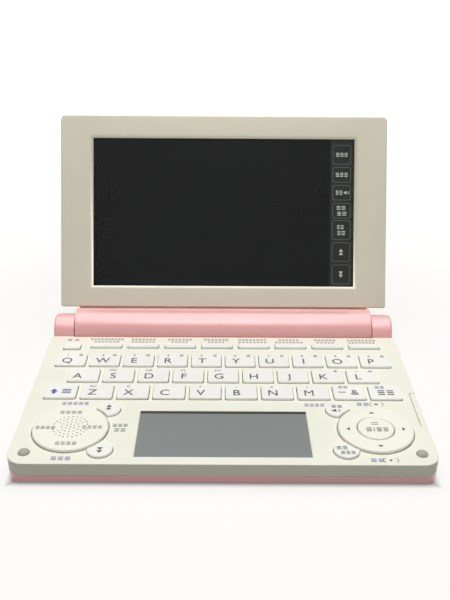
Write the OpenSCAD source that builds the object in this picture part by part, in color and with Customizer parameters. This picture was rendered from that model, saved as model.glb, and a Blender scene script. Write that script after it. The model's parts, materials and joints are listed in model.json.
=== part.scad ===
// Clamshell electronic dictionary, drawn with its lid open as it is read, in millimetres.
// The origin is the centre of the base, on the surface that it stands on.
// +X is to the right, +Y is towards the hinge and +Z is up.

/* [Base] */
// Width of the base and of the whole object
base_w = 148; // [146:1:180]
// Front edge of the base to the hinge axis
base_reach = 95.6; // [95:0.1:120]
// Underside to the top of the keyboard plate
base_h = 8.7; // [8.5:0.1:12]
// Height of the joint between the upper and the lower case
split_h = 3.7; // [3.5:0.1:4]
// Gap that shows as the line between two shells
seam = 0.1; // [0.06:0.01:0.2]
// Thickness of the side walls
wall = 1.3; // [1:0.1:1.6]
// Thickness of the keyboard plate
plate_t = 1.2; // [1:0.1:1.4]
// Thickness of the floor
floor_t = 1.2; // [1:0.1:1.5]
// Radius of the two front corners, seen from above
corner_r = 6; // [3:0.5:6]
// Radius of the lower edge
tuck_r = 1.8; // [1:0.1:1.8]

/* [Hinge] */
// Thickness of the barrel's wall
barrel_wall = 1.2; // [1:0.05:1.5]
// Length of each fixed end cap
cap_len = 9.3; // [8:0.1:14]
// Radius of each fixed end cap
cap_r = 7.4; // [6.8:0.1:8]
// How far the end caps' middle stands forward of the hinge axis, and below it
cap_shift = 1; // [0.2:0.1:1.2]
// How far an end cap stands in from the side of the base
cap_inset = 0.5; // [0:0.1:1]
// Gap between the barrel and each end cap
cap_gap = 0.3; // [0.2:0.05:0.5]
// Gap between the barrel and the case in front of it
barrel_gap = 0.4; // [0.3:0.05:0.8]
// Radius of the hinge pins
pin_r = 2.5; // [2:0.1:3]
// Radial clearance of a hinge pin in the turning barrel
pin_play = 0.05; // [0.03:0.01:0.08]
// Opening angle of the lid as drawn, 0 being shut
open_angle = 115; // [60:0.5:150]

/* [Batteries] */
// Radius of one cell
cell_r = 6.9; // [6:0.1:7.1]
// Length of one cell with its nub
cell_len = 50.3; // [48:0.1:50.5]
// Clearance round the cells
cell_play = 0.3; // [0.2:0.05:0.5]
// Angle from the rear of the barrel to the middle of the battery cover
cover_turn = 15; // [10:1:20]
// How far the battery cover slides to unlatch
cover_slide = 2.5; // [2:0.1:4]
// Clearance round the battery cover
cover_play = 0.1; // [0.05:0.01:0.2]

/* [Lid] */
// How far each side of the lid stands in from the base
lid_inset = 1.75; // [1:0.05:3]
// How far the shut lid's front edge stands back from the base's
lid_setback = 1.8; // [1:0.1:3]
// Hinge axis to the lower edge of the screen frame
lid_foot = 8.9; // [8.8:0.1:12]
// Gap between the shut lid and a dial that is rocked as far as it goes
shut_gap = 0.4; // [0.05:0.05:0.5]
// Thickness of the lid
lid_t = 5.6; // [5.4:0.1:7]
// Thickness of the screen frame and of the back cover
lid_wall = 1.2; // [1:0.1:1.4]
// Radius of the lid's upper corners
lid_corner_r = 2.5; // [2:0.5:6]
// Width of the main screen's window
window_w = 115.8; // [80:0.1:122]
// Height of the main screen's window
window_h = 65.4; // [50:0.1:67]
// Lower edge of the screen frame to the window
window_foot = 9.4; // [8:0.1:10]
// Thickness of the frame where it borders the window
window_land = 0.9; // [0.7:0.1:1]
// Width of the window's bevel
window_bevel = 0.6; // [0.3:0.1:1]
// Thickness of the screen glass
glass_t = 1; // [0.7:0.1:1.2]
// How far the glass and the display reach under the frame
glass_lap = 1.6; // [1:0.1:2.5]

/* [Letter keys] */
// Distance between the middles of neighbouring keys
key_pitch = 13.84; // [11:0.01:14]
// Distance between the rows
row_pitch = 11.7; // [11.5:0.05:12]
// Space left between neighbouring keys of a row
key_space = 1.7; // [1.6:0.1:2.5]
// Space left between the rows
row_space = 2.1; // [1.3:0.1:2.5]
// Front edge of the base to the front of the lowest row
row_y = 38.6; // [37:0.1:40]
// Height of the keys above the plate
key_rise = 0.9; // [0.8:0.1:1.3]
// Travel of a letter key
key_travel = 0.8; // [0.5:0.1:0.9]
// Gap round a key in its opening
key_gap = 0.2; // [0.15:0.01:0.25]
// Radius of a key's corners
key_corner_r = 0.9; // [0.5:0.1:1.5]

/* [Subject keys] */
// Number of long keys in the row under the hinge
bar_count = 8; // [4:1:8]
// Distance between the middles of neighbouring long keys
bar_pitch = 15.6; // [14.5:0.01:15.6]
// Width of a long key
bar_w = 13.1; // [10:0.1:13.2]
// Depth of a long key
bar_d = 3.4; // [3:0.1:3.6]
// Hinge axis to the front of the long keys
bar_back = 18.6; // [18:0.1:19]
// Middle of the long keys' row, from the centre line
bar_x = 5.15; // [4:0.05:5.5]
// Width of the power key
power_w = 7.2; // [6:0.1:7.3]
// Depth of the power key
power_d = 4.4; // [4:0.1:4.8]
// Hinge axis to the front of the power key
power_back = 20.1; // [20:0.1:21]
// Height of this row's keys above the plate
bar_rise = 1; // [0.6:0.1:1.2]
// Travel of this row's keys and of the round keys
short_travel = 0.6; // [0.4:0.1:0.7]

/* [Dials] */
// Side of the base to a dial's middle
dial_side = 19.3; // [19:0.1:21]
// Front edge of the base to a dial's middle
dial_y = 19.6; // [18:0.1:20]
// Radius of a dial
dial_r = 13.5; // [10:0.1:13.6]
// Height of a dial above the plate
dial_rise = 1.1; // [1:0.1:1.5]
// Gap round a dial in its opening
dial_gap = 0.4; // [0.35:0.05:0.5]
// Angle a dial rocks each way
dial_rock = 2.5; // [1.5:0.1:2.5]
// Radius of the enter key inside the right dial
enter_r = 6.45; // [5:0.05:7]
// Radius of the small round keys beside the dials
round_r = 4.5; // [3:0.1:4.5]
// Distance of a round key's middle from its dial's, sideways
round_dx = 12.1; // [12:0.1:13]
// Distance of a round key's middle from its dial's, to front or back
round_dy = 12.1; // [12:0.1:12.5]
// Radius of one hole of the speaker grille
grille_r = 0.32; // [0.25:0.01:0.4]
// Number of rings of holes round the grille's middle one
grille_rings = 4; // [2:1:4]
// Distance between the grille's rings
grille_pitch = 1.54; // [1.2:0.01:1.6]
// Grille's middle to the words beside it, where holes are left out
grille_word_x = 4; // [3:0.1:7]
// Half of the height that those words take
grille_word_y = 1; // [0.5:0.1:1.5]

/* [Handwriting panel] */
// Width of its window
pad_w = 61.4; // [40:0.1:62]
// Depth of its window
pad_d = 27.4; // [15:0.1:28]
// Front edge of the base to its window
pad_y = 4.4; // [4:0.1:5]
// Recess of the panel below the plate
pad_recess = 0.55; // [0.4:0.05:0.8]
// How far the panel reaches under the plate
pad_lap = 1; // [0.6:0.1:1.2]
// Thickness of the panel
pad_t = 2.2; // [1.5:0.1:2.4]

/* [Ports and stylus] */
// Hinge axis to the middle of the earphone jack
jack_back = 12.4; // [12.2:0.1:12.6]
// Radius of the earphone jack
jack_r = 1.78; // [1.75:0.01:1.8]
// Depth of the earphone jack
jack_len = 13; // [12:0.1:13.4]
// Width of the data port
port_w = 7.4; // [6:0.1:8]
// Height of the data port
port_h = 2.2; // [1.8:0.1:2.2]
// Radius of the stylus
stylus_r = 1.6; // [1.4:0.1:1.7]
// Length of the stylus
stylus_len = 62; // [50:1:62]
// Clearance round the stylus in its bay
stylus_play = 0.15; // [0.1:0.01:0.25]

/* [Fasteners and rubber] */
// Radius of a screw's shank
screw_r = 1; // [0.8:0.1:1.1]
// Radius of a screw's head
screw_head_r = 1.9; // [1.6:0.1:2]
// Radius of a rubber foot
foot_r = 3.5; // [3:0.1:4]
// Height of a rubber foot below the underside
foot_rise = 0.4; // [0.3:0.1:1]
// Radius of the rubber bumpers beside the dials
bumper_r = 2; // [1.5:0.1:2.2]

/* [Hidden] */
$fn = 48;
eps = 0.01;
far = 400;                              // longer than anything it cuts
slit = 0.05;                            // gap between pieces that are stacked flat

// barrel and lid, measured from the hinge axis
barrel_bore_r = cell_r + cell_play;
barrel_r = barrel_bore_r + barrel_wall;
barrel_len = base_w - 2 * (cap_len + cap_gap);
case_d = base_reach + barrel_r;
axis_y = base_reach - case_d / 2;
axis_z = base_h;
lid_w = base_w - 2 * lid_inset;
lid_rise = dial_rise + dial_r * sin(dial_rock) + shut_gap;
lid_top = base_reach - lid_setback;
lid_h = lid_top - lid_foot;
lid_back_z = -lid_rise - lid_t;
lid_split_z = -lid_rise - 0.5 * lid_t;
lid_foot_corner_r = 0.8;
window_y = lid_foot + window_foot;
glass_z = -lid_rise - window_land - slit;
display_z = glass_z - glass_t - slit;
display_t = display_z - lid_back_z - lid_wall - slit;
display_margin = 3;

// battery bay in the barrel
bay_len = 2 * cell_len + 2.6;
cover_len = bay_len + 4.8;
cover_half_angle = 75;
cover_edge_angle = 1.2;
pin_start = bay_len / 2 + 4.8;
pin_in_cap = 6.2;
nub_len = 1.1;
nub_r = 2.6;

// base, measured from the front edge and the underside, which the feet lift
front_y = -case_d / 2;
cap_fit = 0.1;                          // between an end cap and the case in front of it
tray_end = base_reach - 5.6;            // the floor stops under the front of the barrel
plate_z = base_h - plate_t;
board_t = 1;
board_z = floor_t + 1;
board_top = board_z + board_t;
board_gap = 0.5;
dome_h = 0.8;
dome_top = board_top + dome_h;
press_gap = 0.1;                        // left between a pressed key and its dome
flange_t = 0.8;
flange_w = 0.5;
flange_play = 0.1;
plunger_r = 1.6;
key_w = key_pitch - key_space;
key_d = row_pitch - row_space;

// dials
dial_x = base_w / 2 - dial_side;
dial_flange_w = 1.1;
dial_drop = (dial_r + dial_flange_w) * sin(dial_rock);
dial_flange_top = plate_z - dial_drop - flange_play;
dial_flange_t = 0.7;
dial_foot = dial_flange_top - dial_flange_t;
dial_rest_x = dial_r - 1.5;
dial_rest_r = 1.3;
pivot_r = 0.7;                          // the round nubs that a dial rocks on, in its rests
pivot_len = 2.2;
pivot_play = 0.1;
enter_gap = 0.35;
round_gap = 0.4;                        // between a round key and its dial
speaker_room = 1.7;                     // between the speaker and the dial's rests
speaker_r = dial_rest_x - dial_rest_r - speaker_room;
speaker_t = 2.4;

// screws and rubber
post_r = 2.6;
boss_r = 2.2;
screw_fit = 0.02;
screw_recess = 0.3;
head_t = 1.1;
screw_spots = [                         // from the centre line and the front edge
    [base_w / 2 - 7.7, row_y - 3.6],
    [dial_x - 18.3, dial_y + 0.7],
    [base_w / 2 - 20, base_reach - 12.4]
];
foot_spots = [[base_w / 2 - 9, 7], [base_w / 2 - 9, base_reach - 10]];
bumper_spot = [base_w / 2 - 5.5, 6.2];
bumper_rise = lid_rise - slit;          // the shut lid comes down on the bumpers
rubber_fit = 0.1;
rubber_sink = 0.5;

// stylus bay and ports
bay_floor = split_h + 0.6;
stylus_y = 21;
stylus_z = bay_floor + stylus_play + stylus_r;
stylus_x = base_w / 2 - stylus_r - 0.3;
notch_y = 23;
notch_len = 21;
notch_w = 2.4;
jack_z = board_top + 2;
jack_wall = 0.4;
jack_y = base_reach - jack_back;
jack_room = 0.6;                        // the case's hole round the jack, for the plug's collar
port_y = dial_y;
port_d = 4.8;
port_room = 0.2;
socket_wall = 0.3;
side_gap = 0.15;                        // between a socket and the side wall

// every key: name, middle from the centre line and the front edge, width, depth, rise, travel
letter_rows = [
    ["shift", "z", "x", "c", "v", "b", "n", "m", "dash", "delete"],
    ["a", "s", "d", "f", "g", "h", "j", "k", "l"],
    ["q", "w", "e", "r", "t", "y", "u", "i", "o", "p"]
];
letter_keys = [
    for (row = [0 : 2])
        for (i = [0 : len(letter_rows[row]) - 1])
            [str("key_", letter_rows[row][i]),
             (i - (len(letter_rows[row]) - 1) / 2) * key_pitch,
             row_y + row * row_pitch + key_d / 2,
             key_w, key_d, key_rise, key_travel]
];
bar_keys = [
    for (i = [0 : bar_count - 1])
        [str("subject_key_", i + 1),
         bar_x + (i - (bar_count - 1) / 2) * bar_pitch,
         base_reach - bar_back + bar_d / 2,
         bar_w, bar_d, bar_rise, short_travel]
];
power_key_place = [
    "power_key",
    bar_x - (bar_count - 1) / 2 * bar_pitch - bar_w / 2 - 4.2 - power_w / 2,
    base_reach - power_back + power_d / 2,
    power_w, power_d, bar_rise, short_travel
];
flat_keys = concat(letter_keys, bar_keys, [power_key_place]);

// every round key: name, side of the base, front or back of its dial
round_keys = [
    ["page_up_key", -1, 1],
    ["page_down_key", -1, -1],
    ["voice_key", 1, 1],
    ["back_key", 1, -1]
];

// ---- helpers ----

// rectangle with round corners, centred
module round_rect(w, d, r) {
    square([w - 2 * r, d], center = true);
    square([w, d - 2 * r], center = true);
    for (x = [-1, 1], y = [-1, 1])
        translate([x * (w / 2 - r), y * (d / 2 - r)])
            circle(r);
}

// rectangle that stands on y = 0, with its two lower corners round
module tucked_rect(w, h, r) {
    translate([-w / 2, r])
        square([w, h - r]);
    translate([-w / 2 + r, 0])
        square([w - 2 * r, h]);
    for (x = [-1, 1])
        translate([x * (w / 2 - r), r])
            circle(r);
}

// extrude a Y-Z outline along X, centred
module along_x(length) {
    rotate([90, 0, 90])
        linear_extrude(length, center = true)
            children();
}

// a round bar along X from x0 to x1, on the line through y and z
module bar_x_line(x0, x1, y, z, r) {
    translate([x0, y, z])
        rotate([0, 90, 0])
            cylinder(r = r, h = x1 - x0);
}

// lift from the underside's own height to stand on the rubber feet
module on_feet() {
    translate([0, 0, foot_rise])
        children();
}

// the same piece on the right and on the left
module both_sides() {
    children();
    mirror([1, 0, 0])
        children();
}

// move into the lid's own frame: X across, Y away from the hinge axis, Z out of the screen
module on_lid() {
    translate([0, axis_y, foot_rise + axis_z])
        rotate([180 - open_angle, 0, 0])
            children();
}

// the case's outline seen from above, from the front edge to a given reach
module case_outline(inset, reach) {
    r = max(corner_r - inset, 0.5);
    half = base_w / 2 - inset;
    translate([-half, front_y + inset + r])
        square([2 * half, reach - inset - r]);
    translate([-half + r, front_y + inset])
        square([2 * (half - r), reach - inset]);
    for (x = [-1, 1])
        translate([x * (half - r), front_y + inset + r])
            circle(r);
}

// a bar round the hinge axis, as a tool to cut with
module hinge_round(r, length) {
    bar_x_line(-length / 2, length / 2, axis_y, axis_z, r);
}

// ---- base ----

// a bar for both end caps, or a tool to cut their room
module cap_line(x0, x1, r) {
    bar_x_line(x0, x1, axis_y - cap_shift, axis_z - cap_shift, r);
}

// room for the barrel between the caps, and for the caps beside it
module hinge_room() {
    hinge_round(barrel_r + barrel_gap, barrel_len + 2 * cap_gap);
    cap_line(-far / 2, far / 2, cap_r + cap_fit);
}

module screw_places() {
    both_sides()
        for (s = screw_spots)
            translate([s[0], front_y + s[1], 0])
                children();
}

module jack_line(r, x0, x1) {
    bar_x_line(x0, x1, front_y + jack_y, jack_z, r);
}

module side_ports() {
    jack_line(jack_r + jack_room, -base_w / 2 - 1, -base_w / 2 + wall + 1);
    translate([-base_w / 2 - 1, front_y + port_y - port_w / 2 - port_room, board_top])
        cube([wall + 2, port_w + 2 * port_room, port_h + socket_wall + port_room]);
}

// openings of the keys, the dials and the handwriting panel in the plate
module plate_openings() {
    for (k = flat_keys)
        translate([k[1], front_y + k[2]])
            round_rect(k[3] + 2 * key_gap, k[4] + 2 * key_gap, key_corner_r);
    for (s = [-1, 1])
        translate([s * dial_x, front_y + dial_y])
            circle(dial_r + dial_gap);
    for (k = round_keys)
        translate([k[1] * (dial_x - round_dx), front_y + dial_y + k[2] * round_dy])
            circle(round_r + key_gap);
    translate([-pad_w / 2, front_y + pad_y])
        square([pad_w, pad_d]);
}

// the open channel in the right side that holds the stylus, with its finger notch
module stylus_bay() {
    side = 2 * (stylus_r + stylus_play);
    translate([stylus_x - side / 2, front_y + stylus_y - stylus_play, bay_floor])
        cube([far, stylus_len + 2 * stylus_play, side]);
    translate([base_w / 2 - notch_w, front_y + notch_y, bay_floor + stylus_r])
        cube([far, notch_len, far]);
}

module stylus_bay_wall() {
    side = 2 * (stylus_r + stylus_play);
    translate([stylus_x - side / 2 - 0.8, front_y + stylus_y - stylus_play - 1, split_h + seam / 2])
        cube([far, stylus_len + 2 * stylus_play + 2, plate_z - split_h]);
}

module upper_shell() {
    difference() {
        translate([0, 0, split_h + seam / 2])
            linear_extrude(base_h - split_h - seam / 2)
                case_outline(0, base_reach);
        difference() {
            translate([0, 0, -eps])
                linear_extrude(plate_z + eps)
                    case_outline(wall, base_reach);
            hinge_round(barrel_r + barrel_gap + wall, far);
            stylus_bay_wall();
        }
    }
    screw_places()
        translate([0, 0, board_top])
            cylinder(r = boss_r, h = plate_z - board_top + eps);
}

module base_upper_case() {
    color("ivory")
        on_feet()
            difference() {
                upper_shell();
                hinge_room();
                translate([0, 0, split_h])
                    linear_extrude(far)
                        plate_openings();
                translate([-pad_w / 2 - pad_lap, front_y + pad_y - pad_lap, plate_z - pad_t])
                    cube([pad_w + 2 * pad_lap, pad_d + 2 * pad_lap, pad_t + plate_t - pad_recess]);
                both_sides()
                    translate([bumper_spot[0], front_y + bumper_spot[1], base_h - rubber_sink])
                        cylinder(r = bumper_r + rubber_fit, h = far);
                stylus_bay();
                side_ports();
                screw_places()
                    cylinder(r = screw_r + screw_fit, h = plate_z - 0.4);
            }
}

module tray_shell() {
    intersection() {
        linear_extrude(split_h - seam / 2)
            case_outline(0, base_reach);
        along_x(base_w)
            translate([front_y + far / 2, 0])
                tucked_rect(far, base_h, tuck_r);
        rotate([90, 0, 0])
            linear_extrude(far, center = true)
                tucked_rect(base_w, base_h, tuck_r);
    }
}

module base_lower_case() {
    color("pink")
        on_feet()
            difference() {
                union() {
                    difference() {
                        tray_shell();
                        hinge_round(barrel_r + barrel_gap, barrel_len + 2 * cap_gap);
                        translate([-barrel_len / 2 - cap_gap, front_y + tray_end, -eps])
                            cube([barrel_len + 2 * cap_gap, far, far]);
                        difference() {
                            translate([0, 0, floor_t])
                                linear_extrude(far)
                                    case_outline(wall, base_reach);
                            hinge_round(barrel_r + barrel_gap + wall, far);
                        }
                    }
                    both_sides()
                        cap_line(barrel_len / 2 + cap_gap, base_w / 2 - cap_inset, cap_r);
                    screw_places()
                        translate([0, 0, floor_t - eps])
                            cylinder(r = post_r, h = board_top - floor_t - seam);
                }
                both_sides()
                    bar_x_line(barrel_len / 2, barrel_len / 2 + cap_gap + pin_in_cap + seam,
                               axis_y, axis_z, pin_r + screw_fit);
                screw_places() {
                    translate([0, 0, -eps])
                        cylinder(r = screw_head_r + seam, h = screw_recess + head_t + eps);
                    cylinder(r = screw_r + seam, h = far);
                }
                both_sides()
                    for (s = foot_spots)
                        translate([s[0], front_y + s[1], -eps])
                            cylinder(r = foot_r + rubber_fit, h = rubber_sink + eps);
                side_ports();
            }
}

module main_board() {
    color("seagreen")
        on_feet()
            difference() {
                union() {
                    translate([0, 0, board_z])
                        linear_extrude(board_t)
                            difference() {
                                case_outline(wall + board_gap, base_reach - barrel_r - wall - 1.5);
                                both_sides()
                                    for (s = screw_spots)
                                        translate([s[0], front_y + s[1]])
                                            circle(post_r + seam);
                            }
                    for (k = flat_keys)
                        translate([k[1], front_y + k[2], board_top - eps])
                            cylinder(r = min(3, k[4] / 2), h = dome_h + eps);
                    for (k = round_keys)
                        translate([k[1] * (dial_x - round_dx), front_y + dial_y + k[2] * round_dy,
                                   board_top - eps])
                            cylinder(r = plunger_r, h = dome_h + eps);
                    translate([dial_x, front_y + dial_y, board_top - eps])
                        cylinder(r = plunger_r, h = dome_h + eps);
                    for (s = [-1, 1], t = [-1, 1])
                        translate([s * dial_x + t * dial_rest_x, front_y + dial_y, board_top - eps])
                            cylinder(r = dial_rest_r, h = dial_foot - board_top - flange_play + eps);
                    jack_block();
                    port_block();
                    panel_rests();
                }
                for (s = [-1, 1])
                    translate([s * dial_x, front_y + dial_y, 0])
                        dial_pivots(pivot_r + pivot_play, pivot_len + 1);
                jack_line(jack_r, -far, -base_w / 2 + wall + side_gap + jack_len);
                translate([-far, front_y + port_y - port_w / 2 + socket_wall, board_top + socket_wall])
                    cube([far - base_w / 2 + wall + port_d, port_w - 2 * socket_wall,
                          port_h - socket_wall]);
            }
}

module jack_block() {
    translate([-base_w / 2 + wall + side_gap, front_y + jack_y - jack_r - jack_wall,
               board_top - eps])
        cube([jack_len + jack_wall, 2 * (jack_r + jack_wall), plate_z - board_top - seam]);
}

module port_block() {
    translate([-base_w / 2 + wall + side_gap, front_y + port_y - port_w / 2, board_top - eps])
        cube([port_d, port_w, port_h + socket_wall]);
}

// two bars that hold the handwriting panel up against the plate
module panel_rests() {
    for (y = [pad_y, pad_y + pad_d - 2])
        translate([-pad_w / 2, front_y + y, board_top - eps])
            cube([pad_w, 2, base_h - pad_recess - seam - pad_t - slit - board_top]);
}

module speaker() {
    color("dimgray")
        on_feet()
            translate([-dial_x, front_y + dial_y, board_top + slit]) {
                cylinder(r = speaker_r, h = speaker_t - 0.8);
                cylinder(r = speaker_r - 1.5, h = speaker_t);
            }
}

module handwriting_panel() {
    color("slategray")
        on_feet()
            translate([-pad_w / 2 - pad_lap + seam, front_y + pad_y - pad_lap + seam,
                       base_h - pad_recess - seam - pad_t])
                cube([pad_w + 2 * pad_lap - 2 * seam, pad_d + 2 * pad_lap - 2 * seam, pad_t]);
}

module rubber_pads() {
    color("darkgray")
        on_feet()
            both_sides() {
                for (s = foot_spots)
                    translate([s[0], front_y + s[1], -foot_rise])
                        cylinder(r = foot_r, h = foot_rise + rubber_sink - slit);
                translate([bumper_spot[0], front_y + bumper_spot[1], base_h - rubber_sink + slit])
                    cylinder(r = bumper_r, h = bumper_rise + rubber_sink - slit);
            }
}

module case_screws() {
    color("silver")
        on_feet()
            screw_places() {
                translate([0, 0, screw_recess])
                    cylinder(r = screw_head_r, h = head_t - slit);
                translate([0, 0, screw_recess])
                    cylinder(r = screw_r, h = plate_z - screw_recess - 0.9);
            }
}

module hinge_pins() {
    color("silver")
        on_feet()
            both_sides()
                bar_x_line(pin_start, barrel_len / 2 + cap_gap + pin_in_cap, axis_y, axis_z, pin_r);
}

module stylus() {
    color("ivory")
        on_feet()
            translate([stylus_x, front_y + stylus_y, stylus_z])
                rotate([-90, 0, 0]) {
                    translate([0, 0, 4])
                        cylinder(r = stylus_r, h = stylus_len - 4);
                    translate([0, 0, 1])
                        cylinder(r1 = 0.6, r2 = stylus_r, h = 3 + eps);
                    cylinder(r = 0.6, h = 1 + eps);
                }
}

// ---- lid, in its own frame ----

// the lid's outline, with round upper corners and nearly square lower ones
module lid_outline(inset) {
    w = lid_w - 2 * inset;
    r = max(lid_corner_r - inset, 0.5);
    f = max(lid_foot_corner_r - inset, 0.3);
    translate([-w / 2, lid_foot + inset + f])
        square([w, lid_h - 2 * inset - f - r]);
    translate([-w / 2 + f, lid_foot + inset])
        square([w - 2 * f, f + eps]);
    translate([-w / 2 + r, lid_top - inset - r - eps])
        square([w - 2 * r, r + eps]);
    for (x = [-1, 1]) {
        translate([x * (w / 2 - r), lid_top - inset - r])
            circle(r);
        translate([x * (w / 2 - f), lid_foot + inset + f])
            circle(f);
    }
}

// a layer of the lid between two heights
module lid_layer(z0, z1, inset) {
    translate([0, 0, z0])
        linear_extrude(z1 - z0)
            lid_outline(inset);
}

// the window with its bevel: two crossed prisms make the sloping sides
module window_cut() {
    mid_y = window_y + window_h / 2;
    depth = window_land + 2 * eps;
    intersection() {
        translate([0, mid_y, -lid_rise + eps])
            rotate([90, 0, 0])
                linear_extrude(far, center = true)
                    polygon([[-window_w / 2 - window_bevel, 0], [window_w / 2 + window_bevel, 0],
                             [window_w / 2, -depth], [-window_w / 2, -depth]]);
        translate([0, mid_y, -lid_rise + eps])
            along_x(far)
                polygon([[-window_h / 2 - window_bevel, 0], [window_h / 2 + window_bevel, 0],
                         [window_h / 2, -depth], [-window_h / 2, -depth]]);
    }
}

module lid_bezel() {
    color("tan")
        on_lid()
            difference() {
                lid_layer(lid_split_z + seam / 2, -lid_rise, 0);
                lid_layer(lid_split_z - 1, -lid_rise - window_land, lid_wall);
                window_cut();
            }
}

// the part of the barrel that the battery cover fills, in the Y-Z plane
module cover_sector(r_in, r_out, half_angle) {
    intersection() {
        difference() {
            circle(r_out);
            circle(r_in);
        }
        rotate(cover_turn)
            polygon([[0, 0],
                     [-far * cos(half_angle), far * sin(half_angle)],
                     [-far * cos(half_angle), -far * sin(half_angle)]]);
    }
}

module lid_back_cover() {
    color("pink")
        on_lid()
            difference() {
                union() {
                    difference() {
                        lid_layer(lid_back_z, lid_split_z - seam / 2, 0);
                        lid_layer(lid_back_z + lid_wall, lid_split_z + 1, lid_wall);
                    }
                    along_x(barrel_len)
                        circle(barrel_r);
                    along_x(barrel_len)
                        translate([0, lid_back_z])
                            square([lid_foot + lid_wall, lid_split_z - seam / 2 - lid_back_z]);
                }
                along_x(bay_len)
                    circle(barrel_bore_r);
                translate([cover_slide / 2, 0, 0])
                    along_x(cover_len + 2 * cover_play + cover_slide)
                        cover_sector(barrel_bore_r, barrel_r + 1, cover_half_angle);
                both_sides()
                    bar_x_line(pin_start - seam, far, 0, 0, pin_r + pin_play);
            }
}

module screen_glass() {
    color("black")
        on_lid()
            translate([-window_w / 2 - glass_lap, window_y - glass_lap, glass_z - glass_t])
                cube([window_w + 2 * glass_lap, window_h + 2 * glass_lap, glass_t]);
}

module display_module() {
    color("gray")
        on_lid()
            translate([-window_w / 2 - display_margin, window_y - display_margin,
                       display_z - display_t])
                cube([window_w + 2 * display_margin, window_h + 2 * display_margin, display_t]);
}

module battery_cover() {
    color("pink")
        on_lid()
            along_x(cover_len)
                cover_sector(barrel_bore_r + cover_play, barrel_r,
                             cover_half_angle - cover_edge_angle);
}

module battery_cells() {
    color("steelblue")
        on_lid()
            for (x = [-cell_len - slit, slit]) {
                bar_x_line(x, x + cell_len - nub_len, 0, 0, cell_r);
                bar_x_line(x, x + cell_len, 0, 0, nub_r);
            }
}

// ---- keys ----

// a key from its entry in flat_keys, with side tabs under the plate and a plunger
module flat_key(k) {
    tab_z = plate_z - flange_play - flange_t;
    foot_z = dome_top + k[6] + press_gap;
    color("white")
        on_feet()
            translate([k[1], front_y + k[2], 0]) {
                translate([0, 0, tab_z])
                    linear_extrude(base_h + k[5] - tab_z)
                        round_rect(k[3], k[4], key_corner_r);
                translate([-k[3] / 2 - flange_w, -k[4] / 2 + 0.3, tab_z])
                    cube([k[3] + 2 * flange_w, k[4] - 0.6, flange_t]);
                translate([0, 0, foot_z])
                    cylinder(r = min(plunger_r, k[4] / 2 - 0.4), h = tab_z - foot_z + eps);
            }
}

// a small round key, hollowed where its dial passes
module round_key(side, way) {
    tab_z = plate_z - flange_play - flange_t;
    foot_z = dome_top + short_travel + press_gap;
    color("white")
        on_feet()
            difference() {
                translate([side * (dial_x - round_dx), front_y + dial_y + way * round_dy, 0]) {
                    translate([0, 0, tab_z])
                        cylinder(r = round_r, h = base_h + key_rise - tab_z);
                    translate([0, 0, tab_z])
                        cylinder(r = round_r + flange_w, h = flange_t);
                    translate([0, 0, foot_z])
                        cylinder(r = plunger_r, h = tab_z - foot_z + eps);
                }
                translate([side * dial_x, front_y + dial_y, plate_z - flange_play])
                    cylinder(r = dial_r + dial_gap + round_gap, h = far);
                translate([side * dial_x, front_y + dial_y, 0])
                    cylinder(r = dial_r + dial_flange_w + round_gap, h = plate_z + short_travel);
            }
}

// middles of the grille's holes: rings round a middle one, left out where the words beside it stand
grille_spots = [
    [0, 0],
    for (ring = [1 : grille_rings])
        for (i = [0 : 6 * ring - 1])
            let (a = 90 + 60 * i / ring, p = grille_pitch * ring * [cos(a), sin(a)])
                if (abs(p[0]) < grille_word_x || abs(p[1]) > grille_word_y) p
];

// round nubs under a dial's two sides, on the line that it rocks about
module dial_pivots(r, length) {
    for (x = [-dial_rest_x, dial_rest_x])
        bar_x_line(x - length / 2, x + length / 2, 0, dial_foot, r);
}

module dial_body(top) {
    dial_pivots(pivot_r, pivot_len);
    translate([0, 0, dial_foot])
        cylinder(r = dial_r, h = base_h + top - dial_foot);
    translate([0, 0, dial_foot])
        cylinder(r = dial_r + dial_flange_w, h = dial_flange_t);
}

module speaker_dial() {
    color("white")
        on_feet()
            translate([-dial_x, front_y + dial_y, 0])
                difference() {
                    dial_body(dial_rise);
                    translate([0, 0, dial_foot - eps])
                        cylinder(r = speaker_r + 0.8, h = base_h - dial_foot);
                    for (spot = grille_spots)
                        translate([spot[0], spot[1], base_h - 1])
                            cylinder(r = grille_r, h = far, $fn = 16);
                }
}

module arrow_ring() {
    color("white")
        on_feet()
            translate([dial_x, front_y + dial_y, 0])
                difference() {
                    dial_body(dial_rise);
                    translate([0, 0, dial_foot - eps])
                        cylinder(r = enter_r + enter_gap, h = far);
                }
}

module enter_key() {
    shoulder_z = dial_foot - 0.5;
    foot_z = dome_top + short_travel + press_gap;
    color("white")
        on_feet()
            translate([dial_x, front_y + dial_y, 0]) {
                translate([0, 0, shoulder_z - flange_t])
                    cylinder(r = enter_r, h = base_h + dial_rise + 0.1 - shoulder_z + flange_t);
                translate([0, 0, shoulder_z - flange_t])
                    cylinder(r = enter_r + enter_gap + 0.8, h = flange_t);
                translate([0, 0, foot_z])
                    cylinder(r = plunger_r, h = max(shoulder_z - flange_t - foot_z, 0) + eps);
            }
}

base_upper_case();
base_lower_case();
main_board();
speaker();
handwriting_panel();
rubber_pads();
case_screws();
hinge_pins();
stylus();
lid_bezel();
lid_back_cover();
screen_glass();
display_module();
battery_cover();
battery_cells();
speaker_dial();
arrow_ring();
enter_key();
for (k = round_keys)
    round_key(k[1], k[2]);
for (k = flat_keys)
    flat_key(k);
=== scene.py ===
"""The finished look of a clamshell electronic dictionary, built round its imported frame.

Sizes in this file are millimetres, in the frame's own axes: +X to the right, +Y towards the hinge, +Z up.
"""

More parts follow.
